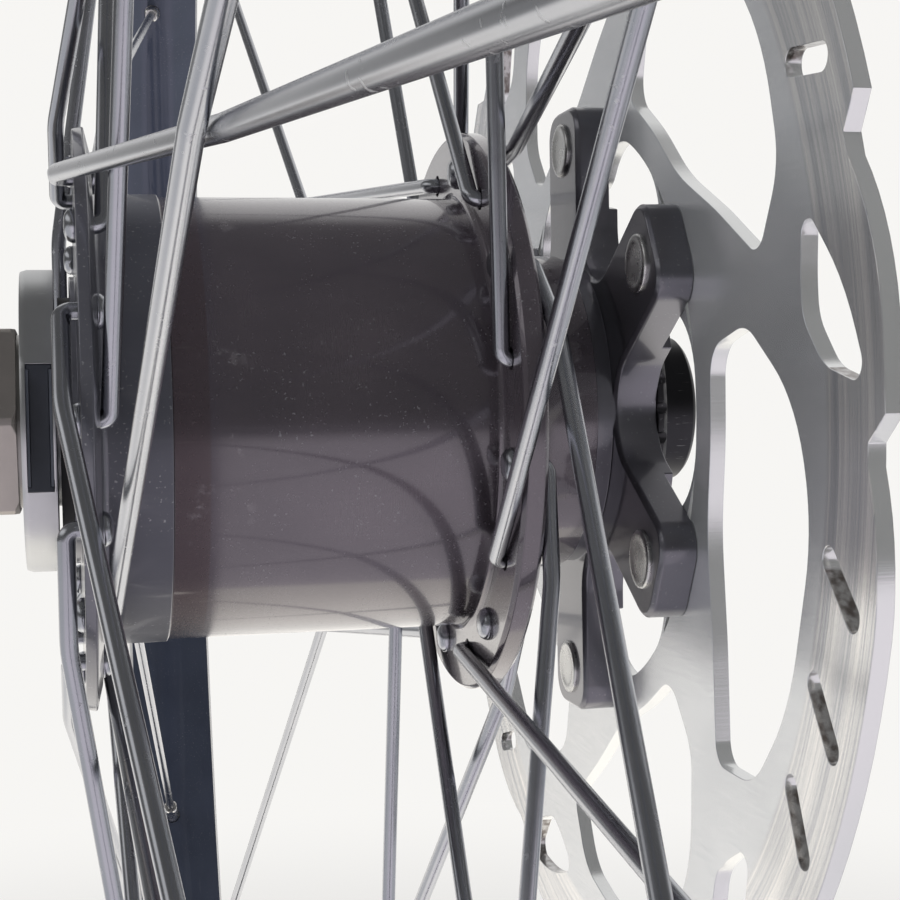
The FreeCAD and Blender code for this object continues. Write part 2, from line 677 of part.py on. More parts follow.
def connector_side_flange():
    """The end piece of the barrel: thin flange, bearing seat and a spigot inside the shell."""
    seat_low_y = CONNECTOR_BEARING_Y - BEARING_WIDTH / 2
    seat_high_y = CONNECTOR_BEARING_Y + BEARING_WIDTH / 2
    barrel_r = CAP_RING_D / 2
    spigot_r = SHELL_INNER_R - FIT_GAP
    spigot_end_y = SHELL_SEAM_Y + SPIGOT_LENGTH
    outline = [
        (BEARING_R, CONNECTOR_BOSS_Y),
        (CONNECTOR_BOSS_D / 2, CONNECTOR_BOSS_Y),
        (CONNECTOR_BOSS_D / 2, CONNECTOR_FLANGE_Y),
        (FLANGE_R - CONNECTOR_EDGE_BEVEL, CONNECTOR_FLANGE_Y),
        (FLANGE_R, CONNECTOR_FLANGE_Y + CONNECTOR_EDGE_BEVEL_WIDTH),
        (FLANGE_R, CONNECTOR_FLANGE_Y + CONNECTOR_EDGE_BEVEL_WIDTH + CONNECTOR_EDGE_LAND),
        (FLANGE_R - CONNECTOR_EDGE_TAPER, CONNECTOR_FLANGE_INNER_Y),
    ]
    outline += filleted_corner(barrel_r, CONNECTOR_FLANGE_INNER_Y, FLANGE_FILLET, -1)[::-1]
    outline += [
        (barrel_r, SHELL_SEAM_Y),
        (spigot_r, SHELL_SEAM_Y),
        (spigot_r, spigot_end_y),
        (spigot_r - SPIGOT_WALL, spigot_end_y),
        (spigot_r - SPIGOT_WALL, CONNECTOR_FLANGE_INNER_Y + END_WEB_STEP),
        (BEARING_R + SPIGOT_WALL, CONNECTOR_FLANGE_INNER_Y + END_WEB_STEP),
        (BEARING_R + SPIGOT_WALL, seat_high_y + LIP_THICKNESS),
        (BEARING_R - BEARING_LIP, seat_high_y + LIP_THICKNESS),
        (BEARING_R - BEARING_LIP, seat_high_y),
        (BEARING_R, seat_high_y),
        (BEARING_R, seat_low_y),
    ]
    body = turned(outline)
    return body.cut(spoke_holes(CONNECTOR_FLANGE_Y, CONNECTOR_FIRST_HOLE_DEG))


def magnet_yoke():
    """The steel ring that carries the magnets inside the shell."""
    inner_r = MAGNET_OUTER_R + FIT_GAP
    end_y = MAGNET_LENGTH / 2 + YOKE_OVERHANG
    return ring(inner_r, inner_r + YOKE_WALL - FIT_GAP, -end_y, end_y)


def magnets():
    """One flat ended magnet segment for each pole."""
    poles = 2 * POLE_PAIRS
    sweep = 360.0 / poles - MAGNET_GAP_DEG
    points = [
        FreeCAD.Vector(MAGNET_INNER_R, -MAGNET_LENGTH / 2, 0),
        FreeCAD.Vector(MAGNET_OUTER_R, -MAGNET_LENGTH / 2, 0),
        FreeCAD.Vector(MAGNET_OUTER_R, MAGNET_LENGTH / 2, 0),
        FreeCAD.Vector(MAGNET_INNER_R, MAGNET_LENGTH / 2, 0),
    ]
    face = Part.Face(Part.makePolygon(points + points[:1]))
    return Part.makeCompound(around(face.revolve(ORIGIN, AXLE_LINE, sweep), poles))


def connector_side_dust_seal():
    """The rubber ring that fills the gap between the turning flange and the still cap."""
    return ring(CAP_SLEEVE_D / 2 + DUST_LIP_GAP, BEARING_R - FIT_GAP, CONNECTOR_BOSS_Y - DUST_LIP_PROUD,
                CONNECTOR_BEARING_Y - BEARING_WIDTH / 2)


def disc_side_dust_seal():
    """The rubber ring in the neck, outside the bearing."""
    inner_y = DISC_BEARING_Y + BEARING_WIDTH / 2
    return ring(AXLE_R + SPACER_WALL + DUST_SEAL_GAP, BEARING_R - FIT_GAP, inner_y,
                inner_y + DUST_SEAL_THICKNESS - DUST_SEAL_GAP)


# Brake rotor, its carrier and the lockring

def carrier_outline():
    """The six armed outline: straight sided arms, with one round valley between each two."""
    step_deg = 360.0 / ARM_COUNT
    side = ARM_WIDTH / 2
    end_deg = math.degrees(math.asin(side / ARM_END_R))
    valley_corner_r = side / math.sin(math.radians(step_deg / 2))
    corners = []
    for index in range(ARM_COUNT):
        middle_deg = FIRST_ARM_DEG + index * step_deg
        corners.append((ARM_END_R, middle_deg - end_deg, ARM_CORNER_R))
        corners.append((ARM_END_R, middle_deg + end_deg, ARM_CORNER_R))
        corners.append((valley_corner_r, middle_deg + step_deg / 2, ARM_VALLEY_R - valley_corner_r))
    return rounded_loop(corners, ARM_FACE_Y)


def rotor_carrier():
    """The splined centre with six arms, cut back behind so that the rotor's lugs lie on them."""
    bore_r = SPLINE_D / 2 + SPLINE_GAP
    star = slab(carrier_outline(), CARRIER_BACK_Y - ARM_FACE_Y)
    face_edges = [edge for edge in star.Edges if abs(edge.BoundBox.YMax - ARM_FACE_Y) < 0.001]
    star = star.makeChamfer(ARM_EDGE_CHAMFER, face_edges)
    seat = ring(CARRIER_BACK_D / 2, 2 * ARM_END_R, ROTOR_Y, CARRIER_BACK_Y + 1)
    rivet_hole = rod(FreeCAD.Vector(RIVET_CIRCLE_R, NECK_END_Y, 0),
                     FreeCAD.Vector(RIVET_CIRCLE_R, CARRIER_BACK_Y, 0), RIVET_D / 2)
    holes = [spun(copy, FIRST_ARM_DEG) for copy in around(rivet_hole, ARM_COUNT)]
    boss = bore(BOSS_D / 2, NECK_END_Y, CARRIER_BACK_Y)
    body = star.cut([seat] + holes).fuse(boss).removeSplitter()
    body = body.cut(bore(bore_r, NECK_END_Y - 1, CARRIER_BACK_Y + 1))
    gap_share = 2 * SPLINE_GAP * SPLINE_COUNT / (math.pi * SPLINE_D)
    teeth = spline_teeth(SPLINE_D / 2 + SPLINE_GAP, SPLINE_FILL - gap_share, NECK_END_Y, SPLINE_END_Y)
    return body.fuse(teeth).removeSplitter()


def rotor_outline():
    """The rotor's edge: arcs of its full radius, broken by two notches for each arm."""
    valley_r = ROTOR_R - ROTOR_NOTCH_DEPTH
    notches = []
    for index in range(ARM_COUNT):
        for first in (ROTOR_FIRST_NOTCH_DEG, ROTOR_SECOND_NOTCH_DEG):
            notches.append(first + index * 360.0 / ARM_COUNT)
    edges = []
    for start, following in zip(notches, notches[1:] + [notches[0] + 360]):
        shoulder_deg = start + ROTOR_NOTCH_RISE_DEG + ROTOR_NOTCH_FLOOR_DEG
        top = polar(ROTOR_R, ROTOR_Y, start - ROTOR_NOTCH_DROP_DEG)
        foot = polar(valley_r, ROTOR_Y, start)
        rise = polar(valley_r, ROTOR_Y, start + ROTOR_NOTCH_FLOOR_DEG)
        bend = polar(ROTOR_R - ROTOR_NOTCH_BEND_DEPTH, ROTOR_Y,
                     start + ROTOR_NOTCH_RISE_DEG * ROTOR_NOTCH_BEND_SHARE)
        shoulder = polar(ROTOR_R, ROTOR_Y, shoulder_deg)
        crest = polar(ROTOR_R, ROTOR_Y, (shoulder_deg + following) / 2)
        end = polar(ROTOR_R, ROTOR_Y, following - ROTOR_NOTCH_DROP_DEG)
        edges.append(Part.LineSegment(top, foot).toShape())
        edges.append(Part.LineSegment(foot, rise).toShape())
        edges.append(Part.Arc(rise, bend, shoulder).toShape())
        edges.append(Part.Arc(shoulder, crest, end).toShape())
    return Part.Wire(edges)


def across_rotor(share):
    """The radius at a share of the way from the rotor's inner edge to its outer edge."""
    return ROTOR_INNER_R + share * (ROTOR_R - ROTOR_INNER_R)


def arm_window():
    """The large slanting opening between two carrier arms: share of the way out, degrees, rounding."""
    corners = [
        (0.113, -9.0, 4.0),
        (0.099, 5.0, 40.0),
        (0.113, 19.5, 30.0),
        (0.262, 33.5, 60.0),
        (0.450, 44.4, 2.6),
        (0.626, 38.2, 8.0),
        (0.689, 27.0, 40.0),
        (0.689, 10.0, 40.0),
        (0.586, -0.5, 30.0),
        (0.338, -9.6, 6.0),
    ]
    return [(across_rotor(share), degrees, rounding) for share, degrees, rounding in corners]


def track_window():
    """The three sided opening that reaches into the brake track: depth from the edge, degrees, rounding."""
    corners = [
        (13.2, -16.8, 1.6),
        (6.6, -8.6, 40.0),
        (3.0, -1.0, 1.6),
        (11.8, -3.0, 6.0),
        (15.8, -7.4, 5.0),
        (15.4, -11.0, 20.0),
    ]
    return [(ROTOR_R - depth, degrees, rounding) for depth, degrees, rounding in corners]


def track_slot(middle_deg):
    """The outline of one slanting slot with round ends in the brake track."""
    half = ROTOR_SLOT_WIDTH / 2
    low = polar(ROTOR_R - ROTOR_SLOT_LOW_DEPTH, ROTOR_Y - 1, middle_deg - ROTOR_SLOT_SLANT_DEG)
    high = polar(ROTOR_R - ROTOR_SLOT_HIGH_DEPTH, ROTOR_Y - 1, middle_deg + ROTOR_SLOT_SLANT_DEG)
    along = (high - low) / (high - low).Length
    across = along.cross(AXLE_LINE) * half
    return Part.Wire([
        Part.LineSegment(low + across, high + across).toShape(),
        Part.Arc(high + across, high + along * half, high - across).toShape(),
        Part.LineSegment(high - across, low - across).toShape(),
        Part.Arc(low - across, low - along * half, low + across).toShape(),
    ])


def rotor_windows():
    """The cut outs of one sixth of the rotor."""
    wires = [rounded_loop(arm_window(), ROTOR_Y - 1), rounded_loop(track_window(), ROTOR_Y - 1)]
    wires += [track_slot(middle_deg) for middle_deg in ROTOR_SLOT_DEGS]
    return [slab(wire, ROTOR_THICKNESS + 2) for wire in wires]


def rotor_lug():
    """A lug behind an arm on +X: round about its rivet, and swept into the rotor's inner edge."""
    lug_r = ROTOR_LUG_D / 2
    reach = ROTOR_INNER_R - ROTOR_LUG_FILLET
    span = lug_r + ROTOR_LUG_FILLET
    middle = FreeCAD.Vector(RIVET_CIRCLE_R, ROTOR_Y, 0)
    centre_x = (reach ** 2 - span ** 2 + RIVET_CIRCLE_R ** 2) / (2 * RIVET_CIRCLE_R)
    centre_z = math.sqrt(reach ** 2 - centre_x ** 2)
    sweeps = []
    for side in (1, -1):
        centre = FreeCAD.Vector(centre_x, ROTOR_Y, side * centre_z)
        outward = FreeCAD.Vector(centre_x, 0, side * centre_z) / reach
        towards = (middle - centre) / span
        bisector = (outward + towards) / (outward + towards).Length
        sweeps.append([centre + direction * ROTOR_LUG_FILLET for direction in (outward, bisector, towards)])
    (start, bend, foot), (far_start, far_bend, far_foot) = sweeps
    tip = FreeCAD.Vector(RIVET_CIRCLE_R - lug_r, ROTOR_Y, 0)
    outer = start * ((ROTOR_INNER_R + ROTOR_LUG_OVERLAP) / ROTOR_INNER_R)
    outer.y = ROTOR_Y
    far_outer = FreeCAD.Vector(outer.x, ROTOR_Y, -outer.z)
    return slab(Part.Wire([
        Part.LineSegment(outer, start).toShape(),
        Part.Arc(start, bend, foot).toShape(),
        Part.Arc(foot, tip, far_foot).toShape(),
        Part.Arc(far_foot, far_bend, far_start).toShape(),
        Part.LineSegment(far_start, far_outer).toShape(),
        Part.LineSegment(far_outer, outer).toShape(),
    ]), ROTOR_THICKNESS)


def brake_rotor():
    """The steel rotor plate, open at the centre with a lug behind each carrier arm."""
    plate = slab(rotor_outline(), ROTOR_THICKNESS)
    plate = plate.cut(bore(ROTOR_INNER_R, ROTOR_Y - 1, ROTOR_OUTER_Y + 1))
    lugs = [spun(copy, FIRST_ARM_DEG) for copy in around(rotor_lug(), ARM_COUNT)]
    plate = plate.fuse(lugs).removeSplitter()
    hole = rod(FreeCAD.Vector(RIVET_CIRCLE_R, ROTOR_Y - 1, 0),
               FreeCAD.Vector(RIVET_CIRCLE_R, ROTOR_OUTER_Y + 1, 0), RIVET_D / 2)
    holes = [spun(copy, FIRST_ARM_DEG) for copy in around(hole, ARM_COUNT)]
    windows = []
    for shape in rotor_windows():
        windows += around(shape, ARM_COUNT)
    return plate.cut(holes + windows)


def rotor_rivets():
    """The steel rivets that hold the rotor to the carrier's arms."""
    shank_r = RIVET_D / 2 - FIT_GAP
    head_r = RIVET_HEAD_D / 2
    profile = [
        (0, ARM_FACE_Y - RIVET_HEAD),
        (head_r - RIVET_HEAD_BEVEL, ARM_FACE_Y - RIVET_HEAD),
        (head_r, ARM_FACE_Y - RIVET_HEAD + RIVET_HEAD_BEVEL),
        (head_r, ARM_FACE_Y),
        (shank_r, ARM_FACE_Y),
        (shank_r, ROTOR_OUTER_Y),
        (head_r, ROTOR_OUTER_Y),
        (head_r, ROTOR_OUTER_Y + RIVET_HEAD - RIVET_HEAD_BEVEL),
        (head_r - RIVET_HEAD_BEVEL, ROTOR_OUTER_Y + RIVET_HEAD),
        (0, ROTOR_OUTER_Y + RIVET_HEAD),
    ]
    rivet = turned(profile)
    rivet.translate(FreeCAD.Vector(RIVET_CIRCLE_R, 0, 0))
    return Part.makeCompound([spun(copy, FIRST_ARM_DEG) for copy in around(rivet, ARM_COUNT)])


def rotor_lockring():
    """The threaded ring that clamps the carrier, notched all round for its tool."""
    skirt_r = LOCKRING_SKIRT_D / 2
    outer_y = CARRIER_BACK_Y + LOCKRING_THICKNESS
    body = turned([
        (skirt_r - LOCKRING_SKIRT_WALL, CARRIER_BACK_Y - LOCKRING_SKIRT_LENGTH),
        (skirt_r, CARRIER_BACK_Y - LOCKRING_SKIRT_LENGTH),
        (skirt_r, CARRIER_BACK_Y),
        (LOCKRING_D / 2, CARRIER_BACK_Y),
        (LOCKRING_D / 2, outer_y - END_CHAMFER),
        (LOCKRING_D / 2 - END_CHAMFER, outer_y),
        (skirt_r - LOCKRING_SKIRT_WALL, outer_y),
    ])
    notch_r = LOCKRING_D / 2 + LOCKRING_TOOTH_D / 2 - LOCKRING_TOOTH_INSET
    notch = rod(FreeCAD.Vector(notch_r, CARRIER_BACK_Y - 1, 0),
                FreeCAD.Vector(notch_r, outer_y + 1, 0), LOCKRING_TOOTH_D / 2)
    return body.cut(around(notch, LOCKRING_TEETH))


# Spokes, nipples and rim

def crossing_share():
    """Where a spoke meets its last crossing, as a share of its run from hole to rim in side view."""
    slope = math.tan(math.radians(LAST_CROSSING_DEG))
    rim_x = RIM_BED_R * math.cos(math.radians(SPOKE_SWEEP_DEG))
    rim_z = RIM_BED_R * math.sin(math.radians(SPOKE_SWEEP_DEG))
    return slope * HOLE_CIRCLE_R / (rim_z - slope * (rim_x - HOLE_CIRCLE_R))


def spoke_corners(flange, number):
    """Corners of one spoke on flange -1 or +1: head, elbow, flange edge, crossing and rim bed."""
    outer_face = CONNECTOR_FLANGE_Y if flange < 0 else DISC_FLANGE_Y
    inner_face = CONNECTOR_FLANGE_INNER_Y if flange < 0 else DISC_FLANGE_INNER_Y
    first = CONNECTOR_FIRST_HOLE_DEG if flange < 0 else FIRST_HOLE_DEG
    hole_deg = first + number * HOLE_STEP_DEG
    elbow_inside = number % 2 == 0
    lift = flange * (SPOKE_R + SPOKE_TOUCH_GAP)
    inside_y = inner_face - lift
    outside_y = outer_face - CONNECTOR_ELBOW_LIFT if flange < 0 else outer_face + lift
    elbow_y = inside_y if elbow_inside else outside_y
    rim_deg = hole_deg - SPOKE_SWEEP_DEG if elbow_inside else hole_deg + SPOKE_SWEEP_DEG
    head = polar(HOLE_CIRCLE_R, outer_face if elbow_inside else inner_face, hole_deg)
    elbow = polar(HOLE_CIRCLE_R, elbow_y, hole_deg)
    bed = polar(RIM_BED_R, flange * NIPPLE_STAGGER, rim_deg)
    share = crossing_share()
    crossing = elbow + (bed - elbow) * share
    middle_y = (inside_y + outside_y) / 2 * (1 - share) + bed.y * share
    crossing.y = middle_y + lift if elbow_inside else middle_y - lift
    if elbow_inside:
        return [head, elbow, crossing, bed]
    flat = FreeCAD.Vector(bed.x - elbow.x, 0, bed.z - elbow.z)
    flat = flat / flat.Length
    back = elbow.x * flat.x + elbow.z * flat.z
    edge_r = FLANGE_R + FLANGE_EDGE_REACH
    edge = elbow + flat * (math.sqrt(back ** 2 + edge_r ** 2 - HOLE_CIRCLE_R ** 2) - back)
    return [head, elbow, edge, crossing, bed]


def spoke_end(flange, number):
    """The point where the spoke's nipple seats in the rim, and the spoke's direction there."""
    crossing, bed = spoke_corners(flange, number)[-2:]
    along = (bed - crossing) / (bed - crossing).Length
    return bed + along * RIM_SPOKE_BED_THICKNESS, along


def bent_wire(points, bend_radii):
    """A wire through the points, with a tangent arc at each inner one."""
    edges = []
    start = points[0]
    for index in range(1, len(points) - 1):
        corner = points[index]
        ahead = (corner - points[index - 1]) / (corner - points[index - 1]).Length
        onward = (points[index + 1] - corner) / (points[index + 1] - corner).Length
        half_turn = ahead.getAngle(onward) / 2
        reach = bend_radii[index - 1] * math.tan(half_turn)
        bisector = (onward - ahead) / (onward - ahead).Length
        sagitta = bend_radii[index - 1] * (1 / math.cos(half_turn) - 1)
        bend_start = corner - ahead * reach
        bend_end = corner + onward * reach
        edges.append(Part.LineSegment(start, bend_start).toShape())
        edges.append(Part.Arc(bend_start, corner + bisector * sagitta, bend_end).toShape())
        start = bend_end
    edges.append(Part.LineSegment(start, points[-1]).toShape())
    return Part.Wire(edges)


def spoke(flange, number):
    """One spoke: coned head, elbow, a soft bend over the spoke it crosses, and its run to the nipple."""
    corners = spoke_corners(flange, number)
    seat, along = spoke_end(flange, number)
    head = corners[0]
    inward = (corners[1] - head) / (corners[1] - head).Length
    soft_bends = len(corners) - 3
    path = bent_wire(corners[:-1] + [seat], [ELBOW_BEND_R] + [SOFT_BEND_R] * soft_bends)
    section = Part.Wire([Part.makeCircle(SPOKE_R, head, inward)])
    body = path.makePipeShell([section], True, False)
    crown = Part.makeCone(
        SPOKE_HEAD_D / 2, SPOKE_HEAD_TOP_D / 2, SPOKE_HEAD_LENGTH, head, inward * -1)
    return body.fuse(crown).removeSplitter()


def spoke_group(flange, first):
    """Every second spoke of a flange: those with even or odd numbers."""
    return Part.makeCompound([spoke(flange, number) for number in range(first, HOLES_PER_FLANGE, 2)])


def nipple(flange, number):
    """One nipple: a round head on the rim's bed, a shank and a squared body."""
    seat, along = spoke_end(flange, number)
    top = Part.makeCone(
        NIPPLE_HEAD_D / 2, NIPPLE_HEAD_TOP_D / 2, NIPPLE_HEAD_LENGTH, seat, along)
    foot = seat - along * (RIM_SPOKE_BED_THICKNESS + NIPPLE_BODY_LENGTH)
    body = rod(foot, seat, NIPPLE_SHANK_D / 2)
    across = along.cross(AXLE_LINE)
    across = across / across.Length
    sideways = along.cross(across)
    flats = []
    for normal in (across, across * -1, sideways, sideways * -1):
        edge = normal.cross(along)
        start = foot + normal * (NIPPLE_FLATS / 2) - edge * NIPPLE_SHANK_D - along
        corners = [
            start,
            start + edge * (2 * NIPPLE_SHANK_D),
            start + edge * (2 * NIPPLE_SHANK_D) + normal * NIPPLE_SHANK_D,
            start + normal * NIPPLE_SHANK_D,
        ]
        face = Part.Face(Part.makePolygon(corners + corners[:1]))
        flats.append(face.extrude(along * (NIPPLE_FLATS_LENGTH + 1)))
    thread = rod(foot - along, seat + along * (NIPPLE_HEAD_LENGTH + 1), SPOKE_R + FIT_GAP)
    return body.fuse(top).cut(flats + [thread])


def nipple_group(flange):
    """All nipples of one flange's spokes."""
    return Part.makeCompound([nipple(flange, number) for number in range(HOLES_PER_FLANGE)])


def rim_half(points):
    """A closed outline from the points of one half and their mirror image."""
    return points + [(radius, -y) for radius, y in reversed(points)]


def rim():
    """The extruded box rim with hooked flanges, nipple sockets and the valve hole."""
    half = RIM_WIDTH / 2
    inner_half = RIM_INNER_WIDTH / 2
    well_half = RIM_WELL_WIDTH / 2
    bed_half = RIM_SPOKE_BED_WIDTH / 2
    chamber_half = half - RIM_WALL
    section = rim_half([
        (RIM_WELL_R, well_half - RIM_WELL_CORNER),
        (RIM_WELL_R + RIM_WELL_CORNER, well_half),
        (BEAD_SEAT_R - RIM_BEAD_DROP, well_half + RIM_WELL_SLOPE),
        (BEAD_SEAT_R, inner_half - RIM_BEAD_CORNER),
        (BEAD_SEAT_R + RIM_BEAD_CORNER, inner_half),
        (RIM_OUTER_R - RIM_HOOK_HEIGHT, inner_half),
        (RIM_OUTER_R - RIM_HOOK_HEIGHT / 2, inner_half - RIM_HOOK),
        (RIM_OUTER_R, inner_half - RIM_HOOK / 2),
        (RIM_OUTER_R, half - RIM_EDGE_CORNER),
        (RIM_OUTER_R - RIM_EDGE_CORNER, half),
        (RIM_WELL_R - RIM_SIDE_DROP, half),
        (RIM_WELL_R - RIM_SHOULDER_DROP, half - RIM_SHOULDER_INSET),
        (RIM_BED_R + RIM_BED_SLOPE_RISE, bed_half + RIM_BED_SLOPE_OUT),
        (RIM_BED_R + RIM_BED_CROWN, bed_half - RIM_BED_CROWN_INSET),
        (RIM_BED_R, bed_half - RIM_BED_FLAT_INSET),
    ])
    chamber = rim_half([
        (RIM_WELL_R - RIM_BED_THICKNESS, well_half - RIM_CHAMBER_INSET),
        (BEAD_SEAT_R - RIM_BED_THICKNESS - RIM_BEAD_DROP, chamber_half - RIM_CHAMBER_INSET),
        (RIM_WELL_R - RIM_SIDE_DROP, chamber_half),
        (RIM_WELL_R - RIM_SHOULDER_DROP, chamber_half - RIM_SHOULDER_INSET),
        (NIPPLE_SEAT_R + RIM_CHAMBER_CORNER, bed_half - RIM_CHAMBER_INSET),
        (NIPPLE_SEAT_R, bed_half - RIM_CHAMBER_INSET - RIM_CHAMBER_CORNER),
    ])
    body = turned(section).cut(turned(chamber))
    drills = []
    for flange in (-1, 1):
        for number in range(HOLES_PER_FLANGE):
            seat, along = spoke_end(flange, number)
            drills.append(rod(seat - along * (2 * RIM_SPOKE_BED_THICKNESS), seat + along,
                              NIPPLE_SHANK_D / 2 + NIPPLE_CLEARANCE))
            drills.append(rod(seat, seat + along * RIM_DEPTH, NIPPLE_SOCKET_D / 2))
    inner_end = polar(RIM_BED_R - 1, 0, VALVE_DEG)
    outer_end = polar(RIM_OUTER_R + 1, 0, VALVE_DEG)
    drills.append(rod(inner_end, outer_end, VALVE_HOLE_D / 2))
    return body.cut(drills)


def rim_tape():
    """The thin band in the well that covers the nipple sockets."""
    inner_r = RIM_WELL_R + TAPE_LIFT
    body = ring(inner_r, inner_r + TAPE_THICKNESS, -TAPE_WIDTH / 2, TAPE_WIDTH / 2)
    start = polar(RIM_WELL_R - 1, 0, VALVE_DEG)
    end = polar(RIM_OUTER_R, 0, VALVE_DEG)
    return body.cut(rod(start, end, VALVE_HOLE_D / 2))


os.makedirs("parts", exist_ok=True)

write(axle_tube(), "axle_tube")
write(spacer(CONNECTOR_BEARING_Y + BEARING_WIDTH / 2, -CLAW_OUTER_Y), "spacer_connector_side")
write(spacer(CLAW_OUTER_Y, DISC_BEARING_Y - BEARING_WIDTH / 2), "spacer_disc_side")
write(claw_pole(1), "claw_pole_disc_side")
write(claw_pole(-1), "claw_pole_connector_side")
write(coil_bobbin(), "coil_bobbin")
write(coil_winding(), "coil_winding")
write(coil_leads(), "coil_leads")
write(connector_side_cap(), "connector_side_cap")
write(terminal_block(), "terminal_block")
write(terminal_contacts(), "terminal_contacts")
write(tab_washer(), "tab_washer")
write(lock_nut(), "lock_nut")
write(connector_side_sleeve(), "connector_side_sleeve")
write(disc_side_end_cap(), "disc_side_end_cap")

for side_name, centre_y in (("connector_side", CONNECTOR_BEARING_Y), ("disc_side", DISC_BEARING_Y)):
    write(bearing_inner_ring(centre_y), "bearing_inner_ring_" + side_name)
    write(bearing_outer_ring(centre_y), "bearing_outer_ring_" + side_name)
    write(bearing_balls(centre_y), "bearing_balls_" + side_name)
    write(bearing_cage(centre_y), "bearing_cage_" + side_name)
    write(bearing_seals(centre_y), "bearing_seals_" + side_name)

write(hub_shell(), "hub_shell")
write(connector_side_flange(), "connector_side_flange")
write(magnet_yoke(), "magnet_yoke")
write(magnets(), "magnets")
write(connector_side_dust_seal(), "connector_side_dust_seal")
write(disc_side_dust_seal(), "disc_side_dust_seal")

write(rotor_carrier(), "rotor_carrier")
write(brake_rotor(), "brake_rotor")
write(rotor_rivets(), "rotor_rivets")
write(rotor_lockring(), "rotor_lockring")

write(rim(), "rim")
write(rim_tape(), "rim_tape")
write(spoke_group(-1, 0), "spokes_connector_side_inner")
write(spoke_group(-1, 1), "spokes_connector_side_outer")
write(spoke_group(1, 0), "spokes_disc_side_inner")
write(spoke_group(1, 1), "spokes_disc_side_outer")
write(nipple_group(-1), "nipples_connector_side")
write(nipple_group(1), "nipples_disc_side")
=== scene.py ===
import bmesh
import bpy
import math
import numpy as np
from mathutils import Matrix, Vector


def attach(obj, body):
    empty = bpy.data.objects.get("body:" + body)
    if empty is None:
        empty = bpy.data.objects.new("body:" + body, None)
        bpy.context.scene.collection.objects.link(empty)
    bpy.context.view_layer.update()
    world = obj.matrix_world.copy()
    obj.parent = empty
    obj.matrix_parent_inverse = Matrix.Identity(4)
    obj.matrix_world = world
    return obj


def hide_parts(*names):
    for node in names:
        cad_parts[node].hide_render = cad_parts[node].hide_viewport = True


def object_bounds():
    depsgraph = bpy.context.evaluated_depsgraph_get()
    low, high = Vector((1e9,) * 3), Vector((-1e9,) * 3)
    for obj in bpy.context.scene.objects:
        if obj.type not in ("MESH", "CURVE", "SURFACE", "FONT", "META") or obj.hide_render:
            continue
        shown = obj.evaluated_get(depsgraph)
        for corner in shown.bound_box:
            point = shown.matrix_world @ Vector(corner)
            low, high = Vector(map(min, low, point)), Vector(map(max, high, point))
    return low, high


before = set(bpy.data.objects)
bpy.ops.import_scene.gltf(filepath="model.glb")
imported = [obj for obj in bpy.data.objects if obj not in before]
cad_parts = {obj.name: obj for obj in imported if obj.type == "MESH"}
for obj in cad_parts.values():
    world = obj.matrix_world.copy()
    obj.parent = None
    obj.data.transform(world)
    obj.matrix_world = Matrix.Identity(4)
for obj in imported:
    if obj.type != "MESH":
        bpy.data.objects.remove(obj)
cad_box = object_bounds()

# Front wheel with a hub dynamo and a disc brake rotor.
# Metres. The axle lies along Y through the origin, the rotor is on the +Y side and +Z is up.
# Angles about the axle are in degrees from +X towards -Z, as a wheel that rolls towards +X turns.


# Camera
# The photograph was taken close to the hub, from inside the wheel between the spokes.
# The camera looks along -X and a little towards the rotor.

CAMERA_PLACE = Vector((0.21264, -0.0287, -0.00009))
CAMERA_YAW = math.radians(12.806)
CAMERA_PITCH = math.radians(1.247)
CAMERA_ROLL = math.radians(-1.215)
FOCAL_PIXELS = 1692.9
FRAME_PIXELS = 900.0
SENSOR_MM = 36.0
CLIP_START = 0.01

backward = Vector((
    math.cos(CAMERA_PITCH) * math.cos(CAMERA_YAW),
    -math.cos(CAMERA_PITCH) * math.sin(CAMERA_YAW),
    math.sin(CAMERA_PITCH)))
level_right = Vector((0, 0, 1)).cross(backward).normalized()
level_up = backward.cross(level_right)
right = math.cos(CAMERA_ROLL) * level_right + math.sin(CAMERA_ROLL) * level_up
up = math.cos(CAMERA_ROLL) * level_up - math.sin(CAMERA_ROLL) * level_right

camera_data = bpy.data.cameras.new("camera")
camera_data.sensor_width = SENSOR_MM
camera_data.lens = SENSOR_MM * FOCAL_PIXELS / FRAME_PIXELS
camera_data.clip_start = CLIP_START
camera = bpy.data.objects.new("camera", camera_data)
camera_turn = Matrix((right, up, backward)).transposed().to_4x4()
camera.matrix_world = Matrix.Translation(CAMERA_PLACE) @ camera_turn
bpy.context.scene.collection.objects.link(camera)
bpy.context.scene.camera = camera


# Floor, backdrop and lamps
# A plain pale studio: the wheel stands on a wide floor under soft panels, before a white backdrop.
# What shines sees a room instead: a bright floor, a white wall behind the wheel, a window, and
# shade at the camera's side. A pair of numbers says where a change starts and where it ends.

FLOOR_Z = cad_box[0][2]
FLOOR_RADIUS = 4.0
FLOOR_HOLE_RADIUS = 0.0005
FLOOR_COLOUR = (0.80, 0.79, 0.77, 1)
FLOOR_CLOUD_COLOUR = (0.83, 0.82, 0.80, 1)
FLOOR_ROUGHNESS = 0.75
BACKDROP_COLOUR = (0.93, 0.92, 0.90, 1)
BACKDROP_REACH = (0.5, 1.15)

# The level direction opposite to the way that the camera looks.
CAMERA_SIDE = (0.975, -0.222)
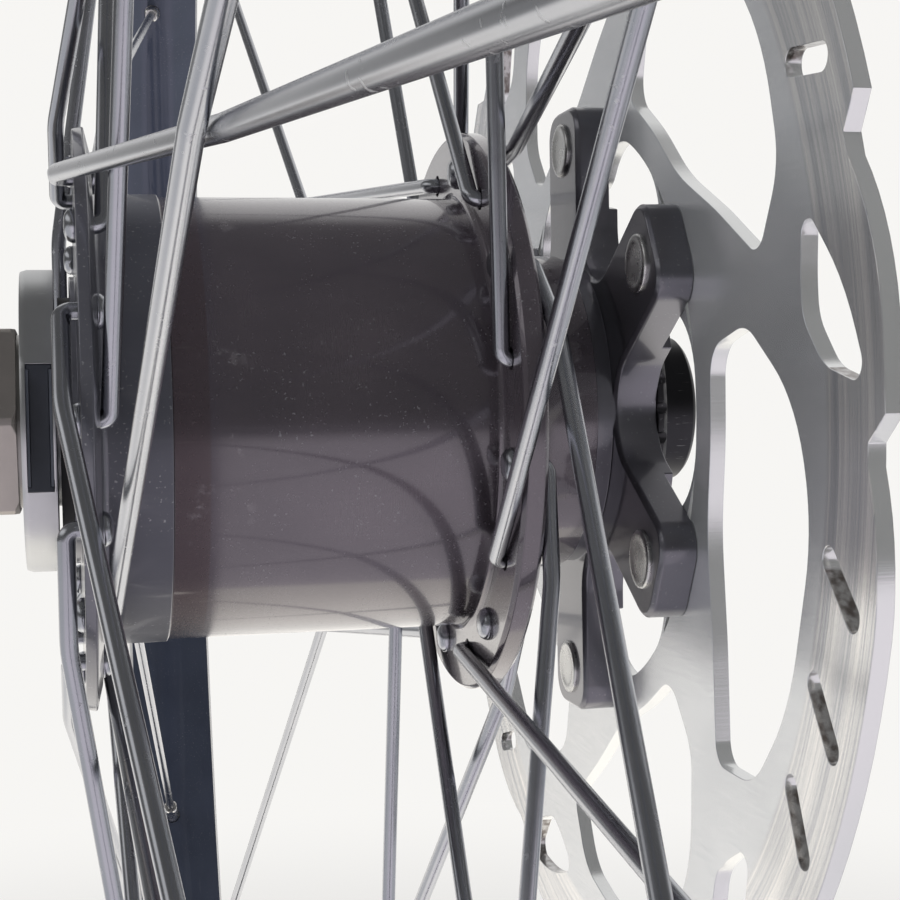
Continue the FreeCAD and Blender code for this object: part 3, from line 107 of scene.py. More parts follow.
# A glow of 1 is white to what shines. Beyond the axle the floor is brighter than that.
FLOOR_NEAR_GLOW = (1.62, 1.55, 1.44, 1)
FLOOR_FAR_GLOW = (1.24, 1.20, 1.14, 1)
FAR_GLOW_REACH = (0.15, 0.45)
FLOOR_FRONT_GLOW = (0.97, 0.91, 0.98, 1)
FRONT_X = (-0.03, -0.01)
FLOOR_SIDE_SHADE = (0.72, 0.72, 0.74, 1)
SIDE_SHARE = (0.6, 0.95)
SIDE_REACH = (0.1, 0.3)
FLOOR_CAMERA_SHADE = (0.20, 0.20, 0.21, 1)
CAMERA_SHADE_REACH = (1.0, 2.2)

ROOM_COLOUR = (0.66, 0.66, 0.67, 1)
WALL_COLOUR = (1.0, 0.99, 0.98, 1)
CAMERA_SIDE_SHARE = (0.5, 0.8)
HORIZON_Z = (-0.10, 0.0)
BACK_WALL_GLOW = 0.86
BACK_WALL_X = (-0.55, -0.05)
BACK_WALL_Y = (-0.36, -0.26)
BACK_WALL_Z = (0.75, 0.95)
SIDE_WALL_GLOW = 0.30
SIDE_WALL_X = (-0.75, -0.45)
SIDE_WALL_Z = (0.15, 0.40)
WINDOW_GLOW = 0.9
WINDOW_Y = (-0.80, -0.62)
WINDOW_Z = (0.30, 0.66)
WINDOW_EDGE = 0.05
CEILING_GLOW = 0.13

MERGE_DISTANCE = 1e-7
SHARP_ANGLE = 35.0

bpy.context.scene.view_settings.view_transform = "Standard"


class Term:
    """A shader socket that takes part in sums: each operator adds one Math node to its finish."""

    def __init__(self, finish, socket):
        self.finish = finish
        self.socket = socket

    def math(self, operation, *terms):
        return self.finish.node("ShaderNodeMath", {"operation": operation}, dict(enumerate(terms)))

    def __add__(self, other):
        return self.math("ADD", self, other)

    def __sub__(self, other):
        return self.math("SUBTRACT", self, other)

    def __rsub__(self, other):
        return self.math("SUBTRACT", other, self)

    def __mul__(self, other):
        return self.math("MULTIPLY", self, other)

    def __truediv__(self, other):
        return self.math("DIVIDE", self, other)

    def __pow__(self, other):
        return self.math("POWER", self, other)

    def most(self, other):
        return self.math("MAXIMUM", self, other)

    def size(self):
        return self.math("ABSOLUTE", self)

    def step(self, low, high):
        """0 below low and 1 above high, with a smooth rise between."""
        return self.finish.node("ShaderNodeMapRange", {"interpolation_type": "SMOOTHSTEP"},
                                {"Value": self, "From Min": low, "From Max": high})

    def band(self, low, high, soft):
        """1 between low and high and 0 outside, with soft edges."""
        return self.step(low - soft, low + soft) * (1 - self.step(high - soft, high + soft))

    __radd__ = __add__
    __rmul__ = __mul__


class Finish:
    """A procedural material or world. Every node comes from node(), and surface() sets the sockets
    of the material's own shader."""

    def __init__(self, name, tree=None):
        if tree is None:
            self.material = bpy.data.materials.new(name)
            self.material.use_nodes = True
            tree = self.material.node_tree
        self.tree = tree

    def feed(self, node, sockets):
        for key, value in sockets.items():
            if isinstance(value, Term):
                self.tree.links.new(value.socket, node.inputs[key])
            else:
                node.inputs[key].default_value = value

    def node(self, kind, settings, sockets, output=0):
        made = self.tree.nodes.new(kind)
        for key, value in settings.items():
            setattr(made, key, value)
        self.feed(made, sockets)
        return Term(self, made.outputs[output])

    def surface(self, **sockets):
        """Sets sockets of the Principled shader, named with underscores for spaces."""
        shader = self.tree.nodes["Principled BSDF"]
        self.feed(shader, {key.replace("_", " "): value for key, value in sockets.items()})
        return self

    def place(self):
        """The point on the piece, as a vector."""
        return self.node("ShaderNodeTexCoord", {}, {}, "Object")

    def axes(self, vector):
        """The three numbers of a vector."""
        return [self.node("ShaderNodeSeparateXYZ", {}, {0: vector}, index) for index in range(3)]

    def vector(self, x, y, z):
        return self.node("ShaderNodeCombineXYZ", {}, {0: x, 1: y, 2: z})

    def noise(self, vector, scale, detail=2.0, roughness=0.5):
        return self.node("ShaderNodeTexNoise", {}, {
            "Vector": vector, "Scale": scale, "Detail": detail, "Roughness": roughness})

    def mix(self, factor, low, high):
        """From colour low at 0 to colour high at 1."""
        return self.node("ShaderNodeMix", {"data_type": "RGBA"}, {0: factor, 6: low, 7: high}, 2)

    def bump(self, height, distance):
        return self.node("ShaderNodeBump", {}, {"Height": height, "Distance": distance})

    def about_axle(self):
        """The point's radius, its angle about the axle in radians, and its place along it."""
        x, y, z = self.axes(self.place())
        radius = (x * x + z * z) ** 0.5
        angle = z.math("ARCTAN2", z, x)
        return radius, angle, y

    def swirl(self, where, round_axle, along_axle, outward, detail=2.0, roughness=0.5):
        """Noise drawn out about the axle, at a place from about_axle(), with a scale each way."""
        radius, angle, along = where
        spread = self.vector(angle * round_axle, along * along_axle, radius * outward)
        return self.noise(spread, 1.0, detail, roughness)


def floor_finish():
    """Matt pale paint that turns into the backdrop further out, and that glows for what shines."""
    finish = Finish("floor_paint")
    spot = finish.place()
    x, y, z = finish.axes(spot)
    reach = (x * x + y * y) ** 0.5
    cloud = finish.noise(spot, scale=14.0, detail=3.0)
    finish.surface(Base_Color=finish.mix(cloud, FLOOR_COLOUR, FLOOR_CLOUD_COLOUR),
                   Roughness=FLOOR_ROUGHNESS)

    # The reach below the hub is made a little more than zero, so that y can be divided by it.
    sideways = y.size() / (reach + 0.001)
    in_front = x.step(*FRONT_X)
    beside = sideways.step(*SIDE_SHARE) * reach.step(*SIDE_REACH)
    by_camera = (x * CAMERA_SIDE[0] + y * CAMERA_SIDE[1]).step(*CAMERA_SHADE_REACH)
    glow = finish.mix(reach.step(*FAR_GLOW_REACH), FLOOR_NEAR_GLOW, FLOOR_FAR_GLOW)
    glow = finish.mix(in_front, glow, FLOOR_FRONT_GLOW)
    glow = finish.mix(beside, glow, FLOOR_SIDE_SHADE)
    glow = finish.mix(by_camera, glow, FLOOR_CAMERA_SHADE)

    seen = finish.node("ShaderNodeLightPath", {}, {}, "Is Camera Ray")
    mirrored = finish.node("ShaderNodeLightPath", {}, {}, "Is Glossy Ray")
    far = reach.step(*BACKDROP_REACH)
    backdrop = finish.node("ShaderNodeEmission", {}, {"Color": BACKDROP_COLOUR, "Strength": 1.0})
    bright = finish.node("ShaderNodeEmission", {}, {"Color": glow, "Strength": 1.0})
    paint = Term(finish, finish.tree.nodes["Principled BSDF"].outputs[0])
    paint = finish.node("ShaderNodeMixShader", {}, {0: far * seen, 1: paint, 2: backdrop})
    paint = finish.node("ShaderNodeMixShader", {}, {0: mirrored, 1: paint, 2: bright})
    finish.feed(finish.tree.nodes["Material Output"], {0: paint})
    return finish


def disc(radius, z, rings=24, sectors=96):
    """A flat disc: rows of growing radius, columns round the centre."""
    radii = np.linspace(FLOOR_HOLE_RADIUS, radius, rings)
    turns = np.linspace(0, 2 * np.pi, sectors, False)
    reach, turn = np.meshgrid(radii, turns, indexing="ij")
    return np.stack([reach * np.cos(turn), reach * np.sin(turn), np.full_like(reach, z)], -1)


def lattice(grid, close_rows=False, close_columns=False):
    """Corners and quads over a grid of points, rows by columns; each way may close on itself."""
    rows, columns = grid.shape[:2]
    row = np.arange(rows if close_rows else rows - 1)
    column = np.arange(columns if close_columns else columns - 1)
    i, j = np.meshgrid(row, column, indexing="ij")
    below, beside = (i + 1) % rows, (j + 1) % columns
    quads = np.stack([i * columns + j, below * columns + j,
                      below * columns + beside, i * columns + beside], -1)
    return grid.reshape(-1, 3), quads.reshape(-1, 4)


def piece(name, shells, finish, body=None, stands_for=(), sharp=SHARP_ANGLE):
    """One object from shells of corners and quads, smooth but for edges over the sharp angle."""
    corners = np.concatenate([shell[0] for shell in shells])
    starts = np.cumsum([0] + [len(shell[0]) for shell in shells[:-1]])
    faces = np.concatenate([shell[1] + start for shell, start in zip(shells, starts)])
    mesh = bpy.data.meshes.new(name)
    mesh.from_pydata(corners.tolist(), [], faces.tolist())
    form = bmesh.new()
    form.from_mesh(mesh)
    bmesh.ops.remove_doubles(form, verts=form.verts, dist=MERGE_DISTANCE)
    bmesh.ops.recalc_face_normals(form, faces=form.faces)
    form.to_mesh(mesh)
    form.free()
    mesh.polygons.foreach_set("use_smooth", np.ones(len(mesh.polygons), bool))
    mesh.set_sharp_from_angle(angle=math.radians(sharp))
    mesh.materials.append(finish.material)
    thing = bpy.data.objects.new(name, mesh)
    bpy.context.scene.collection.objects.link(thing)
    if body:
        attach(thing, body)
    if stands_for:
        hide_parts(*stands_for)
    return thing


floor = piece("floor", [lattice(disc(FLOOR_RADIUS, FLOOR_Z), close_columns=True)], floor_finish())


def studio_walls(world):
    """Soft even light from all around, and the walls, window and ceiling that what shines sees.
    Their edges are set by x, y and z of the direction that is looked in."""
    room = Finish("studio", world.node_tree)
    x, y, z = room.axes(room.node("ShaderNodeTexCoord", {}, {}, "Generated"))
    # How level the direction is. It is never quite zero, so that x and y can be divided by it.
    level = (1.0001 - z * z) ** 0.5
    camera_side = ((x * CAMERA_SIDE[0] + y * CAMERA_SIDE[1]) / level).step(*CAMERA_SIDE_SHARE)
    low = (1 - z.step(*HORIZON_Z)) * (1 - camera_side)
    back = (1 - x.step(*BACK_WALL_X)) * y.step(*BACK_WALL_Y) * (1 - z.step(*BACK_WALL_Z))
    side = (1 - x.step(*SIDE_WALL_X)) * (1 - z.step(*SIDE_WALL_Z))
    window = (1 - y.step(*WINDOW_Y)) * z.band(*WINDOW_Z, WINDOW_EDGE)
    glow = low.most(back * BACK_WALL_GLOW).most(side * SIDE_WALL_GLOW)
    glow = glow.most(window * WINDOW_GLOW).most(CEILING_GLOW)
    glow = room.mix(glow, (0, 0, 0, 1), WALL_COLOUR)
    seen = room.node("ShaderNodeLightPath", {}, {}, "Is Camera Ray")
    mirrored = room.node("ShaderNodeLightPath", {}, {}, "Is Glossy Ray")
    colour = room.mix(seen, room.mix(mirrored, ROOM_COLOUR, glow), BACKDROP_COLOUR)
    room.feed(world.node_tree.nodes["Background"], {"Color": colour, "Strength": 1.0})


world = bpy.data.worlds.new("studio")
world.use_nodes = True
bpy.context.scene.world = world
studio_walls(world)


def panel(name, place, aim, size, power):
    """A square lamp of soft light, facing the point that it lights. Metal doesn't show it."""
    data = bpy.data.lights.new(name, "AREA")
    data.size = size
    data.energy = power
    lamp = bpy.data.objects.new(name, data)
    lamp.location = place
    lamp.rotation_euler = (Vector(aim) - Vector(place)).to_track_quat("-Z", "Y").to_euler()
    lamp.visible_glossy = False
    bpy.context.scene.collection.objects.link(lamp)


panel("key_panel", place=(0.35, -1.25, 0.85), aim=(0, 0, 0), size=0.8, power=9)
panel("side_panel", place=(0.6, 1.3, 1.0), aim=(0, 0, 0), size=1.2, power=10)


# Hub shell and flanges
# Turned and forged aluminium, anodised black: glossy on the barrel, with dust and fine scuffs.
# A brownish bare band and a duller end ring lie on the connector side.

BARREL_SEAM_Y = -0.0172
BROWN_BAND_END_Y = -0.0132
BROWN_BAND_EDGE = 0.00005
STAIN_Y = (-0.018, -0.009)
STAIN_EDGE = 0.002
SHELL_TINT = (0.092, 0.079, 0.093)
FLANGE_TINT = (0.110, 0.114, 0.134)
DARK_SHARES = (0.7, 0.7, 0.75)
LIGHT_SHARES = (1.35, 1.3, 1.3)
BROWN_COLOUR = (0.088, 0.064, 0.071, 1)
BROWN_SHARE = 0.9
STAIN_COLOUR = (0.34, 0.32, 0.34, 1)
STAIN_SHARE = 0.30
DUST_COLOUR = (0.34, 0.34, 0.36, 1)
HAIR_SHARE = 0.05
SMEAR_SHARE = 0.08
CLOUD_ROUGHENING = 0.08
MARK_ROUGHENING = 0.25
TURNING_ROUGHENING = 0.04
MARK_COAT_LOSS = 0.8
MARK_RELIEF = 0.6
ANODISED_MARK_HEIGHT = 0.000004
COAT_ROUGHNESS = 0.07
COAT_IOR = 1.7
CAD_MERGE_DISTANCE = 2e-6
FLAT_ANGLE = 0.4
EDGE_BREAK = 0.00016
EDGE_ANGLE = 32.0
EDGE_SEGMENTS = 2
FACE_WEIGHT = 90


def edged(node, finish, body, width=EDGE_BREAK):
    """A CAD piece with broken edges: its triangles joined, its flats made whole, its sharp edges
    bevelled, and its shading kept even over each face."""
    form = bmesh.new()
    form.from_mesh(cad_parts[node].data)
    bmesh.ops.remove_doubles(form, verts=form.verts, dist=CAD_MERGE_DISTANCE)
    bmesh.ops.dissolve_limit(form, angle_limit=math.radians(FLAT_ANGLE),
                             verts=form.verts, edges=form.edges)
    mesh = bpy.data.meshes.new(node + "_edged")
    form.to_mesh(mesh)
    form.free()
    mesh.polygons.foreach_set("use_smooth", np.ones(len(mesh.polygons), bool))
    mesh.materials.append(finish.material)
    thing = bpy.data.objects.new(node + "_edged", mesh)
    bpy.context.scene.collection.objects.link(thing)
    bevel = thing.modifiers.new("broken_edges", "BEVEL")
    bevel.width = width
    bevel.segments = EDGE_SEGMENTS
    bevel.limit_method = "ANGLE"
    bevel.angle_limit = math.radians(EDGE_ANGLE)
    thing.modifiers.new("even_shading", "WEIGHTED_NORMAL").weight = FACE_WEIGHT
    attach(thing, body)
    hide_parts(node)
    return thing


def toned(colour, share):
    """A colour times one share, or times a share for each part, with its alpha of 1."""
    return tuple(np.multiply(colour, share)) + (1,)


def anodised_black(name, tint, roughness, dust, streak=0.5, coat=0.5, metal=0.6):
    """Black anodised aluminium: a faint tint, fine turning marks, hairline scuffs and dust.
    Gives the finish, its colour, the place along the axle and the point, for more to be added."""
    finish = Finish(name)
    spot = finish.place()
    where = finish.about_axle()
    turning = finish.swirl(where, round_axle=2.0, along_axle=5200.0, outward=900.0)
    smear = finish.swirl(where, round_axle=14.0, along_axle=90.0, outward=90.0,
                         detail=4.0, roughness=0.65).step(0.50, 0.80)
    hair = finish.swirl(where, round_axle=30.0, along_axle=900.0, outward=300.0,
                        detail=3.0).step(0.68, 0.74)
    cloud = finish.noise(spot, scale=70.0, detail=3.0)
    speck = finish.noise(spot, scale=2600.0, detail=1.0).step(0.66, 0.76)
    dusty = finish.noise(spot, scale=120.0, detail=2.0).step(0.36, 0.64)
    mark = speck * dusty * dust + hair * HAIR_SHARE + smear * dust * SMEAR_SHARE
    colour = finish.mix(cloud, toned(tint, DARK_SHARES), toned(tint, LIGHT_SHARES))
    colour = finish.mix(mark, colour, DUST_COLOUR)
    shine = roughness + CLOUD_ROUGHENING * cloud + MARK_ROUGHENING * mark
    height = turning * streak + mark * MARK_RELIEF
    finish.surface(Base_Color=colour, Metallic=metal,
                   Roughness=shine + TURNING_ROUGHENING * turning,
                   Coat_Weight=coat * (1 - MARK_COAT_LOSS * mark),
                   Coat_Roughness=COAT_ROUGHNESS, Coat_IOR=COAT_IOR,
                   Normal=finish.bump(height, ANODISED_MARK_HEIGHT))
    return finish, colour, where[2], spot


def barrel_finish():
    """The barrel's anodising, with the brownish band beside the seam and stains on it."""
    finish, colour, along, spot = anodised_black("shell_anodising", SHELL_TINT,
                                                 roughness=0.20, dust=0.55, coat=0.9)
    brown = along.band(BARREL_SEAM_Y, BROWN_BAND_END_Y, BROWN_BAND_EDGE)
    stain = finish.noise(spot, scale=260.0, detail=4.0, roughness=0.7).step(0.60, 0.68)
    stain = stain * along.band(*STAIN_Y, STAIN_EDGE)
    colour = finish.mix(brown * BROWN_SHARE, colour, BROWN_COLOUR)
    colour = finish.mix(stain * STAIN_SHARE, colour, STAIN_COLOUR)
    return finish.surface(Base_Color=colour)


edged("hub_shell", barrel_finish(), "wheel")
flange_black = anodised_black("flange_anodising", FLANGE_TINT, roughness=0.24, dust=1.0)[0]
edged("connector_side_flange", flange_black, "wheel")


# Inside the hub
# Steel claw poles round a copper coil stand on the axle, and ferrite magnets in a steel yoke turn
# round them with the shell. Two sealed ball bearings carry the shell. All this shows only when the
# hub is cut or taken apart.

RACE_COLOUR = (0.62, 0.62, 0.63)
PRESSED_STEEL_COLOUR = (0.40, 0.40, 0.42)
SEAL_COLOUR = (0.03, 0.03, 0.035)
BOBBIN_COLOUR = (0.55, 0.50, 0.38)
LEAD_COLOUR = (0.25, 0.03, 0.03)
MAGNET_COLOUR = (0.045, 0.045, 0.05)
# Painted light on the coil: a darker copper as painted shade in the grooves, a lighter one as
# painted highlight on the crests.
COPPER_GROOVE_SHADE_COLOUR = (0.38, 0.13, 0.05, 1)
COPPER_CREST_HIGHLIGHT_COLOUR = (0.80, 0.36, 0.16, 1)
COIL_RADIANS_PER_METRE = 12000.0
COIL_TURN_HEIGHT = 0.00005
STEEL_GRAIN_HEIGHT = 0.000003
MOULDED_GRAIN_HEIGHT = 0.00001


def bearing_steel(name, colour, roughness):
    """Ground steel with a faint grain."""
    finish = Finish(name)
    grain = finish.noise(finish.place(), scale=900.0, detail=2.0)
    shade = finish.mix(grain, toned(colour, 0.86), toned(colour, 1.1))
    return finish.surface(Base_Color=shade, Metallic=1.0, Roughness=roughness + 0.12 * grain,
                          Normal=finish.bump(grain, STEEL_GRAIN_HEIGHT))


def moulded(name, colour, roughness, grain_scale=600.0):
    """Moulded plastic or rubber with a fine sparked texture."""
    finish = Finish(name)
    grain = finish.noise(finish.place(), grain_scale, detail=3.0)
    shade = finish.mix(grain, toned(colour, 0.85), toned(colour, 1.15))
    return finish.surface(Base_Color=shade, Roughness=roughness + 0.1 * grain,
                          Normal=finish.bump(grain, MOULDED_GRAIN_HEIGHT))


def wound_copper():
    """Lacquered turns of wire that run round the coil."""
    finish = Finish("wound_copper")
    radius, angle, along = finish.about_axle()
    phase = along * COIL_RADIANS_PER_METRE
    turns = phase.math("SINE", phase)
    # Painted light: each turn of wire is painted lighter on its crest and darker in the groove
    # beside it, in step with its bump.
    shade = finish.mix(turns * 0.5 + 0.5, COPPER_GROOVE_SHADE_COLOUR, COPPER_CREST_HIGHLIGHT_COLOUR)
    return finish.surface(Base_Color=shade, Metallic=0.9, Roughness=0.3,
                          Normal=finish.bump(turns, COIL_TURN_HEIGHT))


def dressed(node, finish):
    """A CAD node keeps its shape and takes a finish."""
    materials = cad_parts[node].data.materials
    materials.clear()
    materials.append(finish.material)


race_steel = bearing_steel("race_steel", RACE_COLOUR, roughness=0.16)
pressed_steel = bearing_steel("pressed_steel", PRESSED_STEEL_COLOUR, roughness=0.34)
seal_rubber = moulded("seal_rubber", SEAL_COLOUR, roughness=0.55)
bobbin_plastic = moulded("bobbin_plastic", BOBBIN_COLOUR, roughness=0.45)
for side in ("connector_side", "disc_side"):
    dressed("claw_pole_" + side, pressed_steel)
    dressed("bearing_inner_ring_" + side, race_steel)
    dressed("bearing_outer_ring_" + side, race_steel)
    dressed("bearing_balls_" + side, race_steel)
    dressed("bearing_cage_" + side, bobbin_plastic)
    dressed("bearing_seals_" + side, seal_rubber)
    dressed(side + "_dust_seal", seal_rubber)
dressed("coil_bobbin", bobbin_plastic)
dressed("coil_winding", wound_copper())
dressed("coil_leads", moulded("lead_insulation", LEAD_COLOUR, roughness=0.4))
dressed("magnet_yoke", pressed_steel)
dressed("magnets", moulded("sintered_ferrite", MAGNET_COLOUR, roughness=0.6, grain_scale=1500.0))


# Axle, end caps and nut
# A hollow turned aluminium axle with a black end piece on each side. On the connector side a grey
# aluminium cap, a tab washer and a steel lock nut are stacked on it, and the nut holds them there.

AXLE_COLOUR = (0.66, 0.66, 0.67)
BLACK_END_COLOUR = (0.05, 0.05, 0.055)
CAP_COLOUR = (0.56, 0.57, 0.58)
WASHER_COLOUR = (0.30, 0.29, 0.28)
NUT_COLOUR = (0.56, 0.52, 0.49)
SCRATCH_COLOUR = (0.75, 0.75, 0.75, 1)
SCRATCH_SHARE = 0.3
SCRATCH_RELIEF = 0.5
PATINA_ROUGHENING = 0.14
RING_ROUGHENING = 0.05
TURNED_MARK_HEIGHT = 0.000005
CAP_EDGE_BREAK = 0.00008
END_CAP_EDGE_BREAK = 0.0004
NUT_EDGE_BREAK = 0.0003


def turned_metal(name, colour, roughness, dark=0.5):
    """Lathe turned metal: fine rings about the axle, a cloudy patina and small scratches."""
    finish = Finish(name)
    where = finish.about_axle()
    rings = finish.swirl(where, round_axle=1.5, along_axle=7000.0, outward=7000.0)
    scratch = finish.swirl(where, round_axle=60.0, along_axle=300.0, outward=300.0,
                           detail=4.0).step(0.66, 0.74)
    patina = finish.noise(finish.place(), scale=160.0, detail=4.0, roughness=0.6)
    shade = finish.mix(patina, toned(colour, dark), toned(colour, 1.0))
    shade = finish.mix(scratch * SCRATCH_SHARE, shade, SCRATCH_COLOUR)
    shine = roughness + PATINA_ROUGHENING * patina + RING_ROUGHENING * rings
    height = rings + scratch * SCRATCH_RELIEF
    return finish.surface(Base_Color=shade, Metallic=0.95, Roughness=shine,
                          Normal=finish.bump(height, TURNED_MARK_HEIGHT))


axle_metal = turned_metal("axle_aluminium", AXLE_COLOUR, roughness=0.30)
edged("axle_tube", axle_metal, "axle_assembly")
dressed("spacer_connector_side", axle_metal)
dressed("spacer_disc_side", axle_metal)
cap_metal = turned_metal("cap_aluminium", CAP_COLOUR, roughness=0.24, dark=0.8)
edged("connector_side_cap", cap_metal, "axle_assembly", CAP_EDGE_BREAK)
black_end = turned_metal("end_cap_anodising", BLACK_END_COLOUR, roughness=0.28)
edged("connector_side_sleeve", black_end, "axle_assembly")
edged("disc_side_end_cap", black_end, "axle_assembly", END_CAP_EDGE_BREAK)
dressed("tab_washer", bearing_steel("washer_steel", WASHER_COLOUR, roughness=0.3))
nut_metal = turned_metal("nut_metal", NUT_COLOUR, roughness=0.42, dark=0.7)
edged("lock_nut", nut_metal, "axle_assembly", NUT_EDGE_BREAK)


# Terminals for the lamp's plug
# A black moulded block in the cap's edge, with a thin spring contact along each side.
# The plug of the lamp's cord clamps onto it.

TERMINAL_COLOUR = (0.034, 0.038, 0.052)
CONTACT_COLOUR = (0.22, 0.24, 0.28)
TERMINAL_EDGE_BREAK = 0.0001

terminal_plastic = moulded("terminal_plastic", TERMINAL_COLOUR, roughness=0.36, grain_scale=900.0)
edged("terminal_block", terminal_plastic, "axle_assembly", TERMINAL_EDGE_BREAK)
dressed("terminal_contacts", bearing_steel("contact_metal", CONTACT_COLOUR, roughness=0.3))


# Brake rotor and its carrier
# A stamped and ground stainless rotor, riveted to a black machined aluminium carrier. The carrier
# slides onto the hub's splines, and a screwed ring locks it there.

TRACK_INNER_RADIUS = 0.0687
TRACK_EDGE = 0.0006
SLOT_RADII = (0.0692, 0.0766)
SLOT_EDGE = 0.0002
ROTOR_FRONT_Y = 0.0396
ROTOR_BACK_Y = 0.0414
WALL_MARGIN = 0.0001
MATT_DARK_COLOUR = (0.58, 0.60, 0.63, 1)
MATT_LIGHT_COLOUR = (0.86, 0.87, 0.88, 1)
WORN_DARK_COLOUR = (0.42, 0.44, 0.48, 1)
WORN_LIGHT_COLOUR = (0.97, 0.95, 0.92, 1)
ROTOR_SPECK_COLOUR = (0.80, 0.80, 0.80, 1)
ROTOR_SPECK_SHARE = 0.4
# Painted light on the rotor's walls: a lighter painted highlight on all of them, and a dark painted
# shade in the slots.
ROTOR_WALL_HIGHLIGHT_COLOUR = (0.76, 0.77, 0.77, 1)
SLOT_WALL_SHADE_COLOUR = (0.15, 0.13, 0.12, 1)
CARRIER_TINT = (0.130, 0.132, 0.150)
LOCKRING_TINT = (0.020, 0.020, 0.023)
GRAIN_SCALES = (260.0, 3600.0, 40.0)
RING_DEPTH_SCALE = 40.0
ROTOR_METAL = 0.75
MATT_ROUGHNESS = 0.22
WORN_ROUGHNESS = 0.15
ROTOR_CLOUD_ROUGHENING = 0.06
GRAIN_RELIEF = 0.5
ROTOR_MARK_HEIGHT = 0.000012
ROTOR_EDGE_BREAK = 0.00014
CARRIER_EDGE_BREAK = 0.00022


def rotor_finish():
    """Ground stainless: matt within the track, rings polished by the pads on it, walls made lighter
    as a painted highlight, and a dark painted shade on the walls of the slots, broken into patches."""
    finish = Finish("rotor_stainless")
    spot = finish.place()
    radius, angle, along = finish.about_axle()
    x, y, z = finish.axes(spot)

    def ringed(round_axle, outward, detail, roughness):
        """Noise drawn out into rings, alike on both faces."""
        spread = finish.vector(angle * round_axle, radius * outward, along * RING_DEPTH_SCALE)
        return finish.noise(spread, 1.0, detail, roughness)

    track = radius.step(TRACK_INNER_RADIUS - TRACK_EDGE, TRACK_INNER_RADIUS + TRACK_EDGE)
    wall = along.band(ROTOR_FRONT_Y + WALL_MARGIN, ROTOR_BACK_Y - WALL_MARGIN, WALL_MARGIN / 2)
    slot = radius.band(*SLOT_RADII, SLOT_EDGE)
    rings = ringed(round_axle=1.2, outward=5200.0, detail=3.0, roughness=0.7)
    bands = ringed(round_axle=0.8, outward=900.0, detail=2.0, roughness=0.6)
    brushed = finish.vector(x * GRAIN_SCALES[0], z * GRAIN_SCALES[1], y * GRAIN_SCALES[2])
    grain = finish.noise(brushed, 1.0, detail=3.0)
    cloud = finish.noise(spot, scale=45.0, detail=3.0)
    speck = finish.noise(spot, scale=2400.0, detail=1.0).step(0.74, 0.80)
    slot_shade_patches = finish.noise(spot, scale=900.0, detail=3.0).step(0.35, 0.65)

    matt = finish.mix(cloud * 0.5 + grain * 0.5, MATT_DARK_COLOUR, MATT_LIGHT_COLOUR)
    polish = (rings * 0.5 + bands * 0.5).step(0.25, 0.75)
    worn = finish.mix(polish, WORN_DARK_COLOUR, WORN_LIGHT_COLOUR)
    face = finish.mix(speck * ROTOR_SPECK_SHARE, finish.mix(track, matt, worn), ROTOR_SPECK_COLOUR)
    # Painted light: the walls take a lighter colour as a painted highlight, and the slots' walls a
    # dark painted shade in noisy patches.
    cut = finish.mix(slot * (0.5 + 0.5 * slot_shade_patches), ROTOR_WALL_HIGHLIGHT_COLOUR, SLOT_WALL_SHADE_COLOUR)
    shine = (1 - track) * MATT_ROUGHNESS + track * WORN_ROUGHNESS
    height = grain * (1 - track) * GRAIN_RELIEF + rings * track
    return finish.surface(Base_Color=finish.mix(wall, face, cut), Metallic=ROTOR_METAL,
                          Roughness=shine + ROTOR_CLOUD_ROUGHENING * cloud,
                          Normal=finish.bump(height, ROTOR_MARK_HEIGHT))


edged("brake_rotor", rotor_finish(), "wheel", ROTOR_EDGE_BREAK)
carrier_black = anodised_black("carrier_anodising", CARRIER_TINT, roughness=0.27, dust=0.4,
                               streak=0.2, coat=0.6, metal=0.9)[0]
edged("rotor_carrier", carrier_black, "wheel", CARRIER_EDGE_BREAK)
lockring_black = anodised_black("lockring_anodising", LOCKRING_TINT, roughness=0.36, dust=0.2,
                                streak=0.5, coat=0.1)[0]
edged("rotor_lockring", lockring_black, "wheel")


# Rivets
# Six steel rivets hold the rotor to the carrier's arms. Each head is pressed, with a dished middle
# and a rounded rim.

RIVET_CIRCLE_RADIUS = 0.0337
RIVET_FIRST_DEGREES = -29.2
RIVET_COUNT = 6
RIVET_STEP = 360.0 / RIVET_COUNT
RIVET_FRONT_Y = 0.0353
RIVET_BACK_Y = ROTOR_BACK_Y
RIVET_SHANK_RADIUS = 0.00207
RIVET_SIDES = 40
RIVET_RADII = np.array([0.0, 1.4, 2.1, 2.45, 2.7, 2.95, 3.15, 3.3, 3.38, 3.4, 3.4]) / 1000
RIVET_HEIGHTS = np.array([0.34, 0.35, 0.38, 0.44, 0.49, 0.50, 0.47, 0.40, 0.30, 0.20, 0.0]) / 1000
RIVET_COLOUR = (0.60, 0.60, 0.59)


def about(radius, y, degrees):
    """Points (radius cos a, y, -radius sin a) at angles a about the axle."""
    turn = np.radians(degrees)
    return np.stack(np.broadcast_arrays(radius * np.cos(turn), y, -radius * np.sin(turn)), -1)


def rivet_shells():
    """One profile turned about each rivet's axis: a head, the shank and the same head behind."""
    radii = np.concatenate([RIVET_RADII, [RIVET_SHANK_RADIUS] * 2, RIVET_RADII[::-1]])
    front = RIVET_FRONT_Y - RIVET_HEIGHTS
    back = RIVET_BACK_Y + RIVET_HEIGHTS[::-1]
    depths = np.concatenate([front, [RIVET_FRONT_Y, RIVET_BACK_Y], back])
    turn = np.linspace(0, 2 * np.pi, RIVET_SIDES, False)
    rivet = np.stack(np.broadcast_arrays(
        radii[:, None] * np.cos(turn), depths[:, None], radii[:, None] * np.sin(turn)), -1)
    degrees = RIVET_FIRST_DEGREES + RIVET_STEP * np.arange(RIVET_COUNT)
    centres = about(RIVET_CIRCLE_RADIUS, 0.0, degrees)
    return [lattice(rivet + centre, close_columns=True) for centre in centres]


